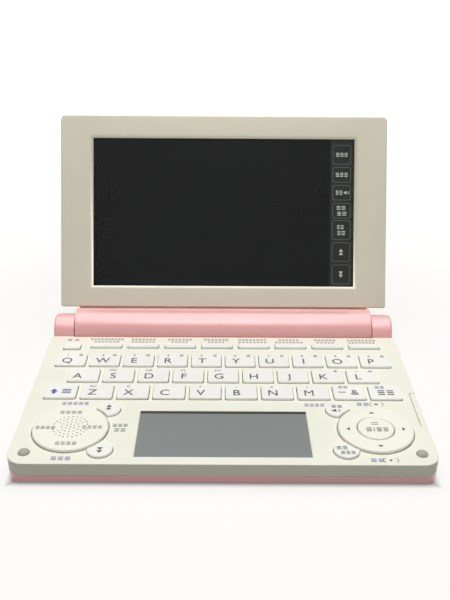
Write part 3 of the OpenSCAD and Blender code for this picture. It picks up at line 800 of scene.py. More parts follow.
class Print:
    """Printed marks, gathered as thin solids; low and high are their foot and top above a surface."""

    def __init__(self, height, low=-0.06, high=None):
        self.parts = []
        self.foot = height + low
        self.top = height + (look("keys").print_rise / MM if high is None else high)

    def patch(self, points):
        self.parts.append(loft([(points, self.foot, 0), (points, self.top, 0)]))

    def bar(self, x, y, width, height, radius=math.inf):
        radius = min(radius, min(width, height) / 2 - 0.01)
        self.patch(rounded_rect(width, height, radius, (x, y), 3))

    def word(self, x, y, width, height):
        """A stand-in for a word: cells of three strokes each, filling a width."""
        count = max(1, round(width / (height * 1.15)))
        cell = width / count
        for i in range(count):
            for row in (1, 0, -1):
                middle = x - width / 2 + cell * (i + 0.5)
                self.bar(middle, y + row * height * 0.39, cell * 0.78, height * 0.2)

    def words(self, x, y, *places):
        """Words given by their way from a point, width and height."""
        for dx, dy, width, height in places:
            self.word(x + dx, y + dy, width, height)

    def arrow(self, x, y, width, height, turn=0):
        """A triangle that points along +Y before it is turned, in degrees."""
        corners = [(0, height / 2), (-width / 2, -height / 2), (width / 2, -height / 2)]
        spin = Matrix.Rotation(math.radians(turn), 2)
        self.patch([tuple(spin @ Vector(c) + Vector((x, y))) for c in corners])

    def box(self, x, y, width, height, radius, line):
        """A rounded outline."""
        outer = rounded_rect(width, height, radius, (x, y))
        inner = rounded_rect(width - 2 * line, height - 2 * line, radius - line / 2, (x, y))
        bm = new_mesh()
        turns = ((outer, self.foot), (outer, self.top), (inner, self.top), (inner, self.foot))
        rows = [ring_at(bm, *turn) for turn in turns]
        bridge(bm, rows + rows[:1])
        self.parts.append(bm)

    def arc(self, x, y, radius, line, start, end):
        """Part of a ring, between two angles in degrees."""
        turns = [math.radians(start + (end - start) * i / 8) for i in range(9)]
        outer = [polar(radius + line / 2, turn, (x, y)) for turn in turns]
        inner = [polar(radius - line / 2, turn, (x, y)) for turn in turns]
        self.patch(outer + inner[::-1])

    def loudspeaker(self, x, y, size):
        """A small speaker sign with two sound waves."""
        self.bar(x - size * 0.42, y, size * 0.28, size * 0.4, 0.02)
        self.arrow(x - size * 0.16, y, size, size * 0.5, 90)
        for radius in (0.32, 0.55):
            self.arc(x + size * 0.12, y, size * radius, size * 0.1, -42, 42)

    def text(self, letters, x, y, height, width):
        """Letters of the built-in font; height is a capital's, and width a capital H's."""
        curve = bpy.data.curves.new("letters", "FONT")
        curve.body = letters
        curve.align_x = "CENTER"
        curve.size = 10
        curve.offset = 0.0 if "M" in letters else 0.05  # a thicker M fills in
        curve.extrude = 1
        curve.resolution_u = 4
        bm = taken(put("letters", curve))
        bpy.data.curves.remove(curve)
        bmesh.ops.remove_doubles(bm, verts=bm.verts, dist=1e-4)
        bm.verts.layers.float.new("edge_mask")
        places = [vert.co.x for vert in bm.verts]
        middle = (min(places) + max(places)) / 2
        for vert in bm.verts:
            vert.co.x = (vert.co.x - middle) * width / CAPITAL_W + x
            vert.co.y = (vert.co.y - CAPITAL_H / 2) * height / CAPITAL_H + y
            vert.co.z = self.top if vert.co.z > 0 else self.foot
        self.parts.append(bm)

    def piece(self, name, body, ink, matrix=None):
        """Makes one object of the marks gathered so far."""
        piece(name, joined(self.parts), body, None, ink, matrix=matrix)


# ---- base ----


def rim_distance(point):
    """How far a point stands inside the base's outline, seen from above."""
    x = abs(point.x) - (CASE_HALF[0] - CASE_CORNER)
    y = abs(point.y) - (CASE_HALF[1] - CASE_CORNER)
    return CASE_CORNER - math.hypot(max(x, 0), max(y, 0)) - min(max(x, y), 0)


class DICTIONARY_OT_upper_case(bpy.types.Operator):
    """Ivory upper case with rounded openings round every key, dial and panel"""

    bl_idname = "dictionary.upper_case"
    bl_label = "Upper case"

    def execute(self, context):
        case = look("case")
        rim, opening = case.rim_edge / MM, case.opening_edge / MM

        def at_window(middle):
            return middle.z > PLATE_TOP - FLUSH and is_inside(middle, *PAD_EDGE)

        def width(middle):
            at_rim = rim_distance(middle) < NEAR
            if middle.z > PLATE_TOP - FLUSH:
                return rim if at_rim else 0.0 if is_inside(middle, *PAD_ROOM) else opening
            return SEAM_EDGE if at_rim and middle.z < SPLIT + NEAR else 0.0

        shell = softened("base_upper_case", width, 3, 0.5, at_window)
        piece("upper_case_shell", shell, "base", "ivory_case", ivory_plastic(), "base_upper_case")
        return {"FINISHED"}


class DICTIONARY_OT_lower_case(bpy.types.Operator):
    """Pink lower case with the fixed hinge caps"""

    bl_idname = "dictionary.lower_case"
    bl_label = "Lower case"

    def execute(self, context):
        cap = look("case").cap_edge / MM

        def width(middle):
            if is_near((middle.yz - CAP_MIDDLE.yz).length, CAP_R):
                if is_near(middle.x, CAP_ENDS[1]):
                    return cap
                if is_near(middle.x, CAP_ENDS[0]):
                    return 0.25
            if rim_distance(middle) < NEAR:
                return SEAM_EDGE
            return 0.15 if middle.z < 0.45 else 0.0

        tray = softened("base_lower_case", width)
        piece("lower_case_tray", tray, "base", "pink_case", pink_pearl(), "base_lower_case")
        return {"FINISHED"}


def cross_head(radius, depth):
    """A screw's head with a cross recess, its top facing +Z at height 0."""
    arm, half = radius * 0.55, radius * 0.13
    cross = [(arm, -half), (arm, half), (half, half)]
    for _ in range(3):
        cross += [(-y, x) for x, y in cross[-3:]]
    bm = new_mesh()
    levels = ((radius, -depth, 0), (radius, -0.25, 1), (radius * 0.86, 0, 0))
    rings = [ring_at(bm, round_points(reach, 36), height, wear_and_highlight) for reach, height, wear_and_highlight in levels]
    bridge(bm, rings)
    bm.faces.new(rings[0][::-1])
    mouth = ring_at(bm, cross, 0)
    pit = ring_at(bm, [(x * 0.8, y * 0.8) for x, y in cross], -depth * 0.6)
    bridge(bm, [pit, mouth])
    bm.faces.new(pit)
    border = [bm.edges.get((loop[i - 1], loop[i])) for loop in (rings[-1], mouth) for i in range(len(loop))]
    bmesh.ops.triangle_fill(bm, use_beauty=True, edges=border)
    return bm


class DICTIONARY_OT_screws(bpy.types.Operator):
    """Six cross-headed case screws and the hinge's steel pins"""

    bl_idname = "dictionary.screws"
    bl_label = "Screws and pins"

    def execute(self, context):
        screws, pins = [], []
        for low, high in islands("case_screws"):
            x, y, top = place_of(low, high)
            head = spun(cross_head((high.x - low.x) / 2, 1.0), 180, "X")
            shank = turned([(0, 0.9, 0), (0.95, 0.9, 0), (0.95, top - 1, 0), (0, top - low.z, 0)], 24)
            screws += [moved(head, x, y, low.z), moved(shank, x, y, low.z)]
        for low, high in islands("hinge_pins"):
            radius, length = (high.y - low.y) / 2, high.x - low.x
            pin = turned([(0, 0, 0), (radius - 0.4, 0, 1), (radius, 0.4, 1), (radius, length - 0.4, 1),
                          (radius - 0.4, length, 1), (0, length, 0)])
            pins.append(moved(spun(pin, 90, "Y"), low.x, (low.y + high.y) / 2, (low.z + high.z) / 2))
        piece("case_screw_set", joined(screws), "base", "steel", bright_steel(), "case_screws")
        piece("hinge_pin_pair", joined(pins), "base", "steel", bright_steel(), "hinge_pins")
        return {"FINISHED"}


class DICTIONARY_OT_rubber(bpy.types.Operator):
    """Domed bumpers on the plate and ringed feet under the base"""

    bl_idname = "dictionary.rubber"
    bl_label = "Bumpers and feet"

    def execute(self, context):
        parts = []
        for low, high in islands("rubber_pads"):
            radius, (x, y, top) = (high.x - low.x) / 2, place_of(low, high)
            z, dome_foot = low.z, PLATE_TOP - 0.1
            if top > PLATE_TOP:
                turns = [math.pi / 2 * i / 10 for i in range(1, 11)]
                profile = [(0, z, 0), (radius, z, 0), (radius, dome_foot, 0)] + [
                    (radius * max(math.cos(turn), 0), dome_foot + BUMPER_DOME * math.sin(turn), 0.2)
                    for turn in turns
                ]
            else:
                profile = [
                    (0, top, 0), (radius, top, 0), (radius, z + 0.2, 0), (radius - 0.06, z + 0.08, 1),
                    (radius - 0.2, z, 1), (radius * 0.72, z, 0), (radius * 0.68, z + 0.12, 0),
                    (radius * 0.62, z + 0.12, 0), (radius * 0.58, z, 0), (0, z, 0),
                ]
            parts.append(moved(turned(profile, 40), x, y))
        piece("rubber_bumpers_and_feet", joined(parts), "base", "rubber", soft_rubber(), "rubber_pads")
        return {"FINISHED"}


class DICTIONARY_OT_side_sockets(bpy.types.Operator):
    """Plated collar of the earphone jack and the contacts in the data port, on the left side"""

    bl_idname = "dictionary.side_sockets"
    bl_label = "Side sockets"

    jack = (-72.56, 31.2, 5.6)
    port = (-70.9, -32.4)
    contacts = 9
    pitch = 0.62

    def execute(self, context):
        gold = turned_metal("plated contact", srgb(214, 180, 110), 0.3)
        collar = turned([
            (1.8, 0, 0), (2.22, 0, 0), (2.3, 0.08, 1), (2.3, 1.2, 0), (1.95, 1.2, 1), (1.8, 1.05, 1),
        ], 48, True)
        piece("jack_collar", moved(spun(collar, -90, "Y"), *self.jack), "base", "steel", bright_steel())
        x, y = self.port
        strips = []
        for i in range(self.contacts):
            outline = rounded_rect(2.4, 0.26, 0.05, (x, y + (i - (self.contacts - 1) / 2) * self.pitch))
            strips.append(loft([(outline, 4.75, 0), (outline, 4.87, 1)]))
        piece("port_contacts", joined(strips), "base", "steel", gold)
        foot = rounded_rect(2.8, 5.9, 0.2, self.port)
        tongue = loft([(foot, 4.2, 0), (foot, 4.7, 0), (rounded_rect(2.65, 5.75, 0.15, self.port), 4.77, 1)])
        black = moulded("black socket plastic", srgb(40, 40, 42), 0.45)
        piece("port_tongue", tongue, "base", "circuit_board", black)
        return {"FINISHED"}


class DICTIONARY_OT_inner_parts(bpy.types.Operator):
    """Finishes for the board, the speaker and the cells, which keep their own shapes"""

    bl_idname = "dictionary.inner_parts"
    bl_label = "Inner parts"

    def execute(self, context):
        finishes = {
            "main_board": board_mask(),
            "speaker": moulded("speaker cone", srgb(58, 56, 54), 0.6, depth=0.02),
            "battery_cells": moulded("cell wrapper", srgb(120, 138, 150), 0.3, depth=0.002, Metallic=0.6),
        }
        for name, material in finishes.items():
            mesh = frame["nodes"][name].data
            for i in range(len(mesh.materials)):
                mesh.materials[i] = material
        return {"FINISHED"}


# ---- handwriting panel ----


class DICTIONARY_OT_handwriting_panel(bpy.types.Operator):
    """Grey handwriting panel with its touch film"""

    bl_idname = "dictionary.handwriting_panel"
    bl_label = "Handwriting panel"

    def execute(self, context):
        low, high = span("handwriting_panel")
        size, middle = high - low, (low + high) / 2

        def outline(inset, radius=0.3):
            return rounded_rect(size.x - 2 * inset, size.y - 2 * inset, radius, middle[:2])

        body = loft([
            (outline(0), low.z, 0), (outline(0), high.z - 0.3, 0), (outline(0.05), high.z - 0.22, 1),
            (outline(0.3), high.z - 0.22, 0), (outline(0.3), high.z - 0.04, 0), (outline(0.34), high.z, 0),
        ])
        grey = display_face("handwriting display", look("screens").panel, 0.3, 0.03, 0.3, 0.35)
        piece("handwriting_screen", body, "base", "handwriting_panel", grey, "handwriting_panel")
        # A dark band along the back of the panel and thin dark lines down its sides: painted shade for the
        # shadow that the recess's walls throw on it.
        mask = Print(high.z)
        mask.bar(middle.x, middle.y + size.y / 2 - 1.2, size.x - 0.8, 2.2, 0.1)
        for side in (-1, 1):
            mask.bar(middle.x + side * (size.x / 2 - 0.55), middle.y, 0.35, size.y - 0.8, 0.05)
        mask.piece("handwriting_mask", "base", print_ink("panel mask", srgb(50, 50, 44), 0.4))
        return {"FINISHED"}


# ---- keys and dials ----

LETTER_ROWS = ("qwertyuiop", "asdfghjkl", "zxcvbnm")
LETTER_PLACE = {"q": 0.375, "w": 0.43, "e": 0.35, "a": 0.31, "s": 0.33}  # share of the key's width
SMALL_SIGNS = {
    **dict(zip("qwertyuiop", "1234567890")),
    "s": "MC", "d": "MR", "f": "M-", "g": "M+", "z": "AC", "x": "C", "v": "+", "b": "-", "n": "x",
    "m": "/", "a": ".", "k": "'", "l": "~",
}
SMALL_ROW = 0.18  # where the small marks stand, as a share of the key's depth from its back


def key_cap(name, edge, side, dish):
    """Makes the visible cap of a flat key, and gives its middle, size and top."""
    low, high = span(name)
    width, depth = high.x - low.x - 2 * KEY_FLANGE, high.y - low.y
    middle = (low + high) / 2

    def outline(inset):
        corner = max(KEY_CORNER - inset, 0.2)
        return rounded_rect(width - 2 * inset, depth - 2 * inset, corner, middle[:2])

    solid = capped(outline, PLATE_TOP - 2.4, high.z, edge, side, dish, depth * 0.42)
    piece(name + "_cap", solid, body_of(name), "keycap", key_plastic(), name)
    return middle, width, depth, high.z


class DICTIONARY_OT_letter_keys(bpy.types.Operator):
    """Twenty-nine keys with their letters, digits and signs"""

    bl_idname = "dictionary.letter_keys"
    bl_label = "Letter keys"

    def execute(self, context):
        keys = look("keys")
        tall, wide = keys.letter_height / MM, keys.letter_width / MM
        for letter in "".join(LETTER_ROWS):
            marks, place = self.cap("key_" + letter)
            across = LETTER_PLACE.get(letter, 0.36)
            marks.text(letter.upper(), *place(across, 0.6), tall, wide)
            if letter in SMALL_SIGNS:
                x, y = place(across, SMALL_ROW)
                marks.text(SMALL_SIGNS[letter], x - 0.3, y, 1.55, 1.25)
            if letter in LETTER_ROWS[0]:
                marks.word(*place(0.79, SMALL_ROW), 1.9, 1.45)
            if letter in "kl":
                marks.arrow(*place(0.76, SMALL_ROW), 1.3, 1.2, 90)
                marks.bar(*place(0.84, SMALL_ROW), 0.9, 0.3)
            marks.piece(f"key_{letter}_print", body_of("key_" + letter), grey_ink())
        self.dash()
        self.delete()
        self.shift()
        return {"FINISHED"}

    def cap(self, name):
        """Makes a key's cap; gives its marks and where shares of its width and depth fall."""
        keys = look("keys")
        middle, width, depth, top = key_cap(name, keys.edge / MM, keys.side / MM, keys.dish / MM)

        def place(across, down):
            return middle.x + width * (across - 0.5), middle.y + depth * (0.5 - down)

        return Print(top - 0.03), place

    def dash(self):
        marks, place = self.cap("key_dash")
        marks.bar(*place(0.27, 0.54), 3.0, 0.45)
        marks.text("&", *place(0.68, 0.54), 3.6, 3.0)
        marks.word(*place(0.33, SMALL_ROW), 4.0, 1.5)
        marks.piece("key_dash_print", body_of("key_dash"), grey_ink())

    def delete(self):
        marks, place = self.cap("key_delete")
        marks.word(*place(0.52, 0.56), 7.0, 3.3)
        marks.piece("key_delete_print", body_of("key_delete"), grey_ink())
        marks.parts = []
        marks.word(*place(0.36, SMALL_ROW), 4.0, 1.6)
        marks.piece("key_delete_second_print", body_of("key_delete"), violet_ink())

    def shift(self):
        marks, place = self.cap("key_shift")
        x, y = place(0.5, 0.55)
        marks.arrow(x - 2.6, y + 0.7, 3.0, 1.8)
        marks.bar(x - 2.6, y - 0.9, 1.3, 1.6, 0.1)
        marks.word(x + 2.2, y, 4.6, 2.9)
        marks.piece("key_shift_print", body_of("key_shift"), violet_ink())


class DICTIONARY_OT_subject_keys(bpy.types.Operator):
    """Eight long subject keys and the power key under the hinge"""

    bl_idname = "dictionary.subject_keys"
    bl_label = "Subject and power keys"

    def execute(self, context):
        for name in [f"subject_key_{i}" for i in range(1, 9)] + ["power_key"]:
            key_cap(name, 0.35, 0.6, 0.03)
        return {"FINISHED"}


class DICTIONARY_OT_round_keys(bpy.types.Operator):
    """Four small round keys, hollowed where the dials pass"""

    bl_idname = "dictionary.round_keys"
    bl_label = "Round keys"

    radius = 4.5
    cut = 14.3
    sides = {"page_up_key": (-1, 1), "page_down_key": (-1, -1), "voice_key": (1, 1), "back_key": (1, -1)}

    def execute(self, context):
        for name, (side, up) in self.sides.items():
            toward = (side * ROUND_KEY_AWAY, -up * ROUND_KEY_AWAY)
            x, y = side * DIAL_MIDDLE[0] - toward[0], DIAL_MIDDLE[1] - toward[1]
            top = span(name)[1].z

            def outline(inset):
                points = crescent(self.radius - inset, self.cut + inset, toward)
                return [(px + x, py + y) for px, py in points]

            solid = capped(outline, PLATE_TOP - 1.9, top, 0.3, 0.5, 0.04, 1.5)
            piece(name + "_cap", solid, body_of(name), "keycap", key_plastic(), name)
            marks = Print(top - 0.02)
            getattr(self, name)(marks, x, y)
            marks.piece(name + "_print", body_of(name), grey_ink())
        return {"FINISHED"}

    def page_up_key(self, marks, x, y):
        for lift in (1.35, -0.25):
            marks.arrow(x + 0.1, y + lift, 2.2, 1.5)

    def page_down_key(self, marks, x, y):
        for lift in (-0.25, -1.85):
            marks.arrow(x + 0.1, y + lift, 2.2, 1.5, 180)

    def voice_key(self, marks, x, y):
        marks.word(x - 0.2, y + 1.7, 4.4, 1.7)
        marks.loudspeaker(x - 0.9, y - 1.0, 2.4)

    def back_key(self, marks, x, y):
        marks.words(x, y, (-1.5, 0.8, 4.2, 1.8), (0.3, -1.9, 5.4, 1.7))


class DICTIONARY_OT_speaker_dial(bpy.types.Operator):
    """Left dial with the speaker grille and the marks round it"""

    bl_idname = "dictionary.speaker_dial"
    bl_label = "Speaker dial"

    def execute(self, context):
        x, y, top = place_of(*span("speaker_dial"))

        def away(point):
            return math.hypot(point.x - x, point.y - y)

        def width(middle):
            return 0.6 if middle.z > top - FLUSH and away(middle) > 13 else 0.0

        dial = softened("speaker_dial", width, 4)
        for height in NECK:
            whole = [*dial.verts, *dial.edges, *dial.faces]
            bmesh.ops.bisect_plane(dial, geom=whole, plane_co=(0, 0, height), plane_no=(0, 0, 1))
        for vert in dial.verts:
            reach = away(vert.co)
            if abs(reach - DIAL_R) < 0.05 and vert.co.z < PLATE_TOP:
                vert.co.x = x + (vert.co.x - x) * (1 - TUCK / reach)
                vert.co.y = y + (vert.co.y - y) * (1 - TUCK / reach)
        piece("grille_dial", dial, "speaker_dial", "dial", dial_plastic(), "speaker_dial")
        self.felt(away, top)
        marks = Print(top)
        marks.words(
            x, y, (-1.2, 8.9, 8.4, 1.7), (-8.8, -0.6, 7.4, 1.7), (7.8, -0.2, 7.6, 1.7), (0.0, -9.7, 7.8, 1.7)
        )
        marks.piece("grille_dial_print", "speaker_dial", grey_ink())
        return {"FINISHED"}

    def felt(self, away, top):
        """Dark rounds just under the grille's top, one small round in each hole: painted shade for the holes'
        dark depth.
        """
        solid = cad_solid("speaker_dial")
        rims = [
            edge for edge in solid.edges
            if abs(edge_middle(edge).z - top) < 0.02 and away(edge_middle(edge)) < 8
        ]
        holes = clusters(rims, lambda edge: [other for vert in edge.verts for other in vert.link_edges])
        spots = [sum(map(edge_middle, hole), Vector()) / len(hole) for hole in holes]
        solid.free()
        profile = [(0, 0, 0), (0.3, 0, 0), (0.3, 0.14, 0), (0.22, 0.2, 0), (0, 0.22, 0)]
        rounds = [moved(turned(profile, 16), spot.x, spot.y, top - 0.26) for spot in spots]
        # a dark colour that paints the shade inside the holes
        dark = moulded("dark felt", srgb(64, 62, 54), 0.85, grain=5000.0, depth=0.03)
        piece("grille_felt", joined(rounds), "speaker_dial", "speaker_cone", dark)


class DICTIONARY_OT_arrow_dial(bpy.types.Operator):
    """Right dial with four arrows and the enter key in its middle"""

    bl_idname = "dictionary.arrow_dial"
    bl_label = "Arrow dial and enter key"

    def execute(self, context):
        x, y, top = place_of(*span("arrow_ring"))
        flange_r, flange_top = DIAL_FLANGE
        bore = 6.8
        ring = turned([
            (bore, DIAL_FOOT, 0), (flange_r, DIAL_FOOT, 0), (flange_r, flange_top, 0),
            (DIAL_R - TUCK, flange_top, 0), (DIAL_R - TUCK, NECK[0], 0), (DIAL_R, NECK[1], 0),
            (DIAL_R, top - 0.6, 0), (13.45, top - 0.36, 1), (13.31, top - 0.16, 1), (13.1, top - 0.04, 1),
            (12.85, top, 0), (10.5, top - 0.06, 0), (7.6, top - 0.03, 0), (7.15, top - 0.08, 1),
            (6.9, top - 0.25, 1), (bore, top - 0.5, 0),
        ], 96, True)
        piece("arrow_dial", moved(ring, x, y), "arrow_ring", "dial", dial_plastic(), "arrow_ring")
        marks = Print(top - 0.04)
        for turn in range(0, 360, 90):
            dx, dy = polar(10.0, math.radians(turn + 90))
            marks.arrow(x + dx, y + dy - 0.5, 2.1, 1.15, turn)
        marks.piece("arrow_dial_print", "arrow_ring", grey_ink())
        self.enter(x, y, span("enter_key")[1].z)
        return {"FINISHED"}

    def enter(self, x, y, top):
        button = turned([
            (0, DIAL_FOOT, 0), (6.45, DIAL_FOOT, 0), (6.45, top - 0.4, 0), (6.4, top - 0.24, 1),
            (6.28, top - 0.1, 1), (6.1, top - 0.02, 1), (5.9, top, 0), (4.2, top - 0.06, 0),
            (2.0, top - 0.09, 0), (0, top - 0.1, 0),
        ], 72)
        piece("enter_button", moved(button, x, y), "enter_key", "dial", dial_plastic(), "enter_key")
        marks = Print(top - 0.06)
        for lift in (3.2, 2.2):
            marks.bar(x, y + lift, 2.6, 0.3)
        marks.words(x, y, (-2.6, -0.9, 2.6, 2.3), (2.3, -0.9, 4.8, 2.3))
        marks.bar(x - 0.75, y - 0.9, 0.3, 2.4)
        marks.piece("enter_button_print", "enter_key", grey_ink())


class DICTIONARY_OT_plate_prints(bpy.types.Operator):
    """Marks on the plate: names of the subject keys and second functions by the dials"""

    bl_idname = "dictionary.plate_prints"
    bl_label = "Plate prints"

    lengths = ((14.4, 11.0), (10.6, 10.2), (10.8, 7.6), (11.0, 7.4), (12.4, 12.6), (9.0, 12.2), (9.6, 8.0),
               (12.6, 11.6))

    def execute(self, context):
        grey, violet = Print(PLATE_TOP), Print(PLATE_TOP)
        for i, (upper, lower) in enumerate(self.lengths):
            low, high = span(f"subject_key_{i + 1}")
            x = (low.x + high.x) / 2 - 0.4
            grey.words(x, high.y, (0, 4.1, upper, 1.3), (0, 1.9, lower, 1.3))
        low, high = span("power_key")
        x = (low.x + high.x) / 2 - 0.4
        grey.words(x, high.y, (-1.5, 4.0, 2.2, 1.4), (1.5, 4.0, 2.2, 1.4))
        grey.words(0, 0, (-37.2, -30.0, 5.8, 1.8), (-37.0, -32.8, 4.6, 1.8))
        for x, y, bar, shift in ((54.6, -15.9, 1.3, 2.0), (54.0, -49.4, 0.8, 1.5)):
            grey.arc(x + 1.9, y, 1.3, 0.25, 115, 245)
            grey.arc(x + 4.4, y, 1.3, 0.25, -65, 65)
            grey.bar(x + 3.1, y, bar, 0.9, 0.1)
            violet.word(x - shift, y, 5.0, 1.8)
        violet.words(
            0, 0, (-55.6, -16.2, 10.4, 1.7), (-55.3, -49.1, 7.2, 1.9), (34.3, -16.6, 8.0, 1.7)
        )
        grey.piece("plate_print_grey", "base", grey_ink())
        violet.piece("plate_print_violet", "base", violet_ink())
        return {"FINISHED"}


class DICTIONARY_OT_stylus(bpy.types.Operator):
    """Slim stylus in its bay at the right side"""

    bl_idname = "dictionary.stylus"
    bl_label = "Stylus"

    thumb_middle = (72.85, -18.5)

    def execute(self, context):
        low, high = span("stylus")
        radius, length = (high.x - low.x) / 2, high.y - low.y
        profile = [(0, 0, 0), (radius - 0.5, 0, 1), (radius - 0.12, 0.25, 1), (radius, 0.8, 0)]
        for i in range(5):
            start, groove = 4 + i * 1.4, radius - 0.14
            profile += [(radius, start, 0), (groove, start + 0.2, 0), (groove, start + 0.5, 0),
                        (radius, start + 0.7, 0)]
        profile += [
            (radius, length - 9, 0), (radius - 0.15, length - 8.6, 1), (radius * 0.62, length - 2.5, 0),
            (radius * 0.42, length - 0.9, 0), (radius * 0.3, length - 0.2, 1), (0, length, 0),
        ]
        rod = spun(turned(profile, 32), -90, "X")
        middle = (low + high) / 2
        thumb = loft([
            (rounded_rect(2.05, 20.6, 0.3), -0.6, 0), (rounded_rect(2.05, 20.6, 0.3), 0.8, 0),
            (rounded_rect(1.95, 20.5, 0.3), 0.94, 1), (rounded_rect(1.75, 20.3, 0.25), 1.0, 0),
        ])
        parts = [moved(rod, middle.x, low.y, middle.z), moved(thumb, *self.thumb_middle, high.z)]
        piece("stylus_rod", joined(parts), "stylus", "ivory_case", ivory_plastic(), "stylus")
        return {"FINISHED"}


# ---- lid ----


class DICTIONARY_OT_lid_back(bpy.types.Operator):
    """Pink back cover with the turning barrel"""

    bl_idname = "dictionary.lid_back"
    bl_label = "Lid back and barrel"

    def execute(self, context):
        lid_edge = look("case").lid_edge / MM

        def width(middle):
            place = TO_LID @ middle
            if is_near(place.x, BARREL_END) and is_near(place.yz.length, BARREL_R):
                return 0.35
            if place.z < LID_BACK + NEAR:
                return lid_edge
            return 0.1 if place.y > 8 else 0.0

        shell = softened("lid_back_cover", width)
        piece("lid_back_shell", shell, "lid", "pink_case", pink_pearl(), "lid_back_cover")
        return {"FINISHED"}


class DICTIONARY_OT_battery_cover(bpy.types.Operator):
    """Sliding battery cover at the rear of the barrel, with finger ridges and an arrow"""

    bl_idname = "dictionary.battery_cover"
    bl_label = "Battery cover"

    def execute(self, context):
        cover = softened("battery_cover", lambda middle: 0.15)
        arrow = Print(BARREL_R - 0.02)
        arrow.arrow(-31.5, 0, 3.0, 2.4, -90)
        arrow.bar(-34.4, 0, 3.6, 0.9, 0.1)
        raised = joined(arrow.parts)
        spin = LID @ Matrix.Rotation(math.radians(105), 4, "X")
        bmesh.ops.transform(raised, matrix=spin, verts=raised.verts)
        ridges = [self.ridge(-44.0 + i * 1.5) for i in range(7)]
        whole = joined([cover, raised] + ridges)
        piece("battery_cover_shell", whole, "battery_cover", "pink_case", pink_pearl(), "battery_cover")
        return {"FINISHED"}

    def ridge(self, x):
        """A low rib that runs part of the way round the barrel."""
        bm = new_mesh()
        mask = bm.verts.layers.float["edge_mask"]
        rows = []
        for i in range(17):
            turn = math.radians(195 + (i - 8) * 2.6)
            row = []
            for dx, radius in ((-0.4, 8.3), (-0.2, 8.4), (0, 8.5), (0.2, 8.4), (0.4, 8.3)):
                vert = bm.verts.new((x + dx, *polar(radius if 0 < i < 16 else min(radius, 8.35), turn)))
                vert[mask] = float(dx == 0)
                row.append(vert)
            rows.append(row)
        bridge(bm, rows)
        bm.faces.new(rows[0])
        bm.faces.new(rows[-1][::-1])
        bmesh.ops.transform(bm, matrix=LID, verts=bm.verts)
        return bm


class DICTIONARY_OT_lid_frame(bpy.types.Operator):
    """Champagne frame round the main screen"""

    bl_idname = "dictionary.lid_frame"
    bl_label = "Screen frame"

    def execute(self, context):
        case = look("case")

        def at_window(middle):
            place = TO_LID @ middle
            return abs(place.x) < 62 and 16 < place.y < 86 and place.z > BEZEL_FACE - FLUSH

        def width(middle):
            at_back = (TO_LID @ middle).z < BEZEL_FACE - FLUSH
            return 0.0 if at_back or at_window(middle) else case.lid_edge / MM

        rim = softened("lid_bezel", width, 4, case.window_edge / MM, at_window)
        piece("screen_frame", rim, "lid", "champagne_bezel", champagne_pearl(), "lid_bezel")
        return {"FINISHED"}


class DICTIONARY_OT_screen(bpy.types.Operator):
    """Main screen: touch glass, the display behind it and the printed touch strip"""

    bl_idname = "dictionary.screen"
    bl_label = "Main screen"

    strip_x = (47.4, 57.9)
    boxes = ((81.4, 72.8), (71.6, 64.8), (63.6, 56.9), (55.6, 48.8), (47.9, 39.3), (38.1, 29.5), (28.2, 19.4))
    boxes_x = 52.5

    def execute(self, context):
        x0, x1, y0, y1 = WINDOW
        middle = ((x0 + x1) / 2, (y0 + y1) / 2)

        def plate(inset, lap):
            grow = 2 * (lap - inset)
            return rounded_rect(x1 - x0 + grow, y1 - y0 + grow, 0.5, middle)

        face, back = GLASS_FACE, GLASS_FACE - 1.05
        glass = loft([
            (plate(0.12, 1.6), face - 1, 0), (plate(0, 1.6), face - 0.88, 1), (plate(0, 1.6), face - 0.12, 1),
            (plate(0.12, 1.6), face, 0),
        ])
        piece("touch_glass", glass, "lid", "screen_glass", touch_glass(), "screen_glass", matrix=LID)
        housing = loft([
            (plate(0.4, 3), back - 2.35, 0), (plate(0, 3), back - 2.0, 1), (plate(0, 3), back - 0.3, 1),
            (plate(0.15, 3), back - 0.12, 0), (plate(2.0, 3), back - 0.12, 0),
            (plate(2.05, 3), back - 0.02, 0),
        ])
        off = display_face("display that is off", look("screens").off, 0.24, 0.05, 0.35, 0.2)
        piece("display_panel", housing, "lid", "display", off, "display_module", matrix=LID)
        self.strip(back)
        return {"FINISHED"}

    def strip(self, back):
        """The printed film with its seven touch keys, between the display and the glass."""
        screens = look("screens")
        left, right = self.strip_x
        film = Print(back, -0.02, 0.005)
        film.patch(rounded_rect(right - left + 1.4, 68.2, 0.3, ((left + right) / 2 + 0.7, 51.0), 3))
        lines, icons = (Print(back, 0.004, 0.02) for _ in range(2))
        x, rows = self.boxes_x, [(top + foot) / 2 for top, foot in self.boxes]
        for y, (top, foot) in zip(rows, self.boxes):
            lines.box(x, y, 8.1, top - foot, 0.9, 0.22)
        icons.words(x, rows[0], (0, 0, 5.6, 1.7))
        icons.words(x, rows[1], (0, 0, 5.8, 1.8))
        icons.words(x, rows[2], (-1.1, 0, 3.4, 1.8))
        icons.loudspeaker(x + 2.1, rows[2], 1.9)
        icons.words(x, rows[3], (-0.2, 1.3, 4.4, 1.7), (0.2, -1.3, 4.6, 1.7))
        icons.words(x, rows[4], (-0.4, 1.3, 3.4, 1.8), (0, -1.3, 4.0, 1.8))
        for lift in (0.75, -0.65):
            icons.arrow(x, rows[5] + lift, 1.9, 1.3)
            icons.arrow(x, rows[6] - lift, 1.9, 1.3, 180)
        film.piece("touch_strip_film", "lid", print_ink("strip film", screens.strip, 0.4), LID)
        lines.piece("touch_strip_boxes", "lid", print_ink("strip outline", screens.outline), LID)
        icons.piece("touch_strip_icons", "lid", print_ink("strip icon", screens.icon), LID)


# ---- stage ----


def seen_white(tree, strength):
    """Strength where a surface or the world is seen directly, in a mirror or through glass."""
    rays = node(tree, "LightPath").outputs
    seen = calc(tree, "MAXIMUM", rays["Is Camera Ray"], rays["Is Glossy Ray"])
    seen = calc(tree, "MAXIMUM", seen, rays["Is Transmission Ray"])
    return calc(tree, "MULTIPLY", seen, strength)


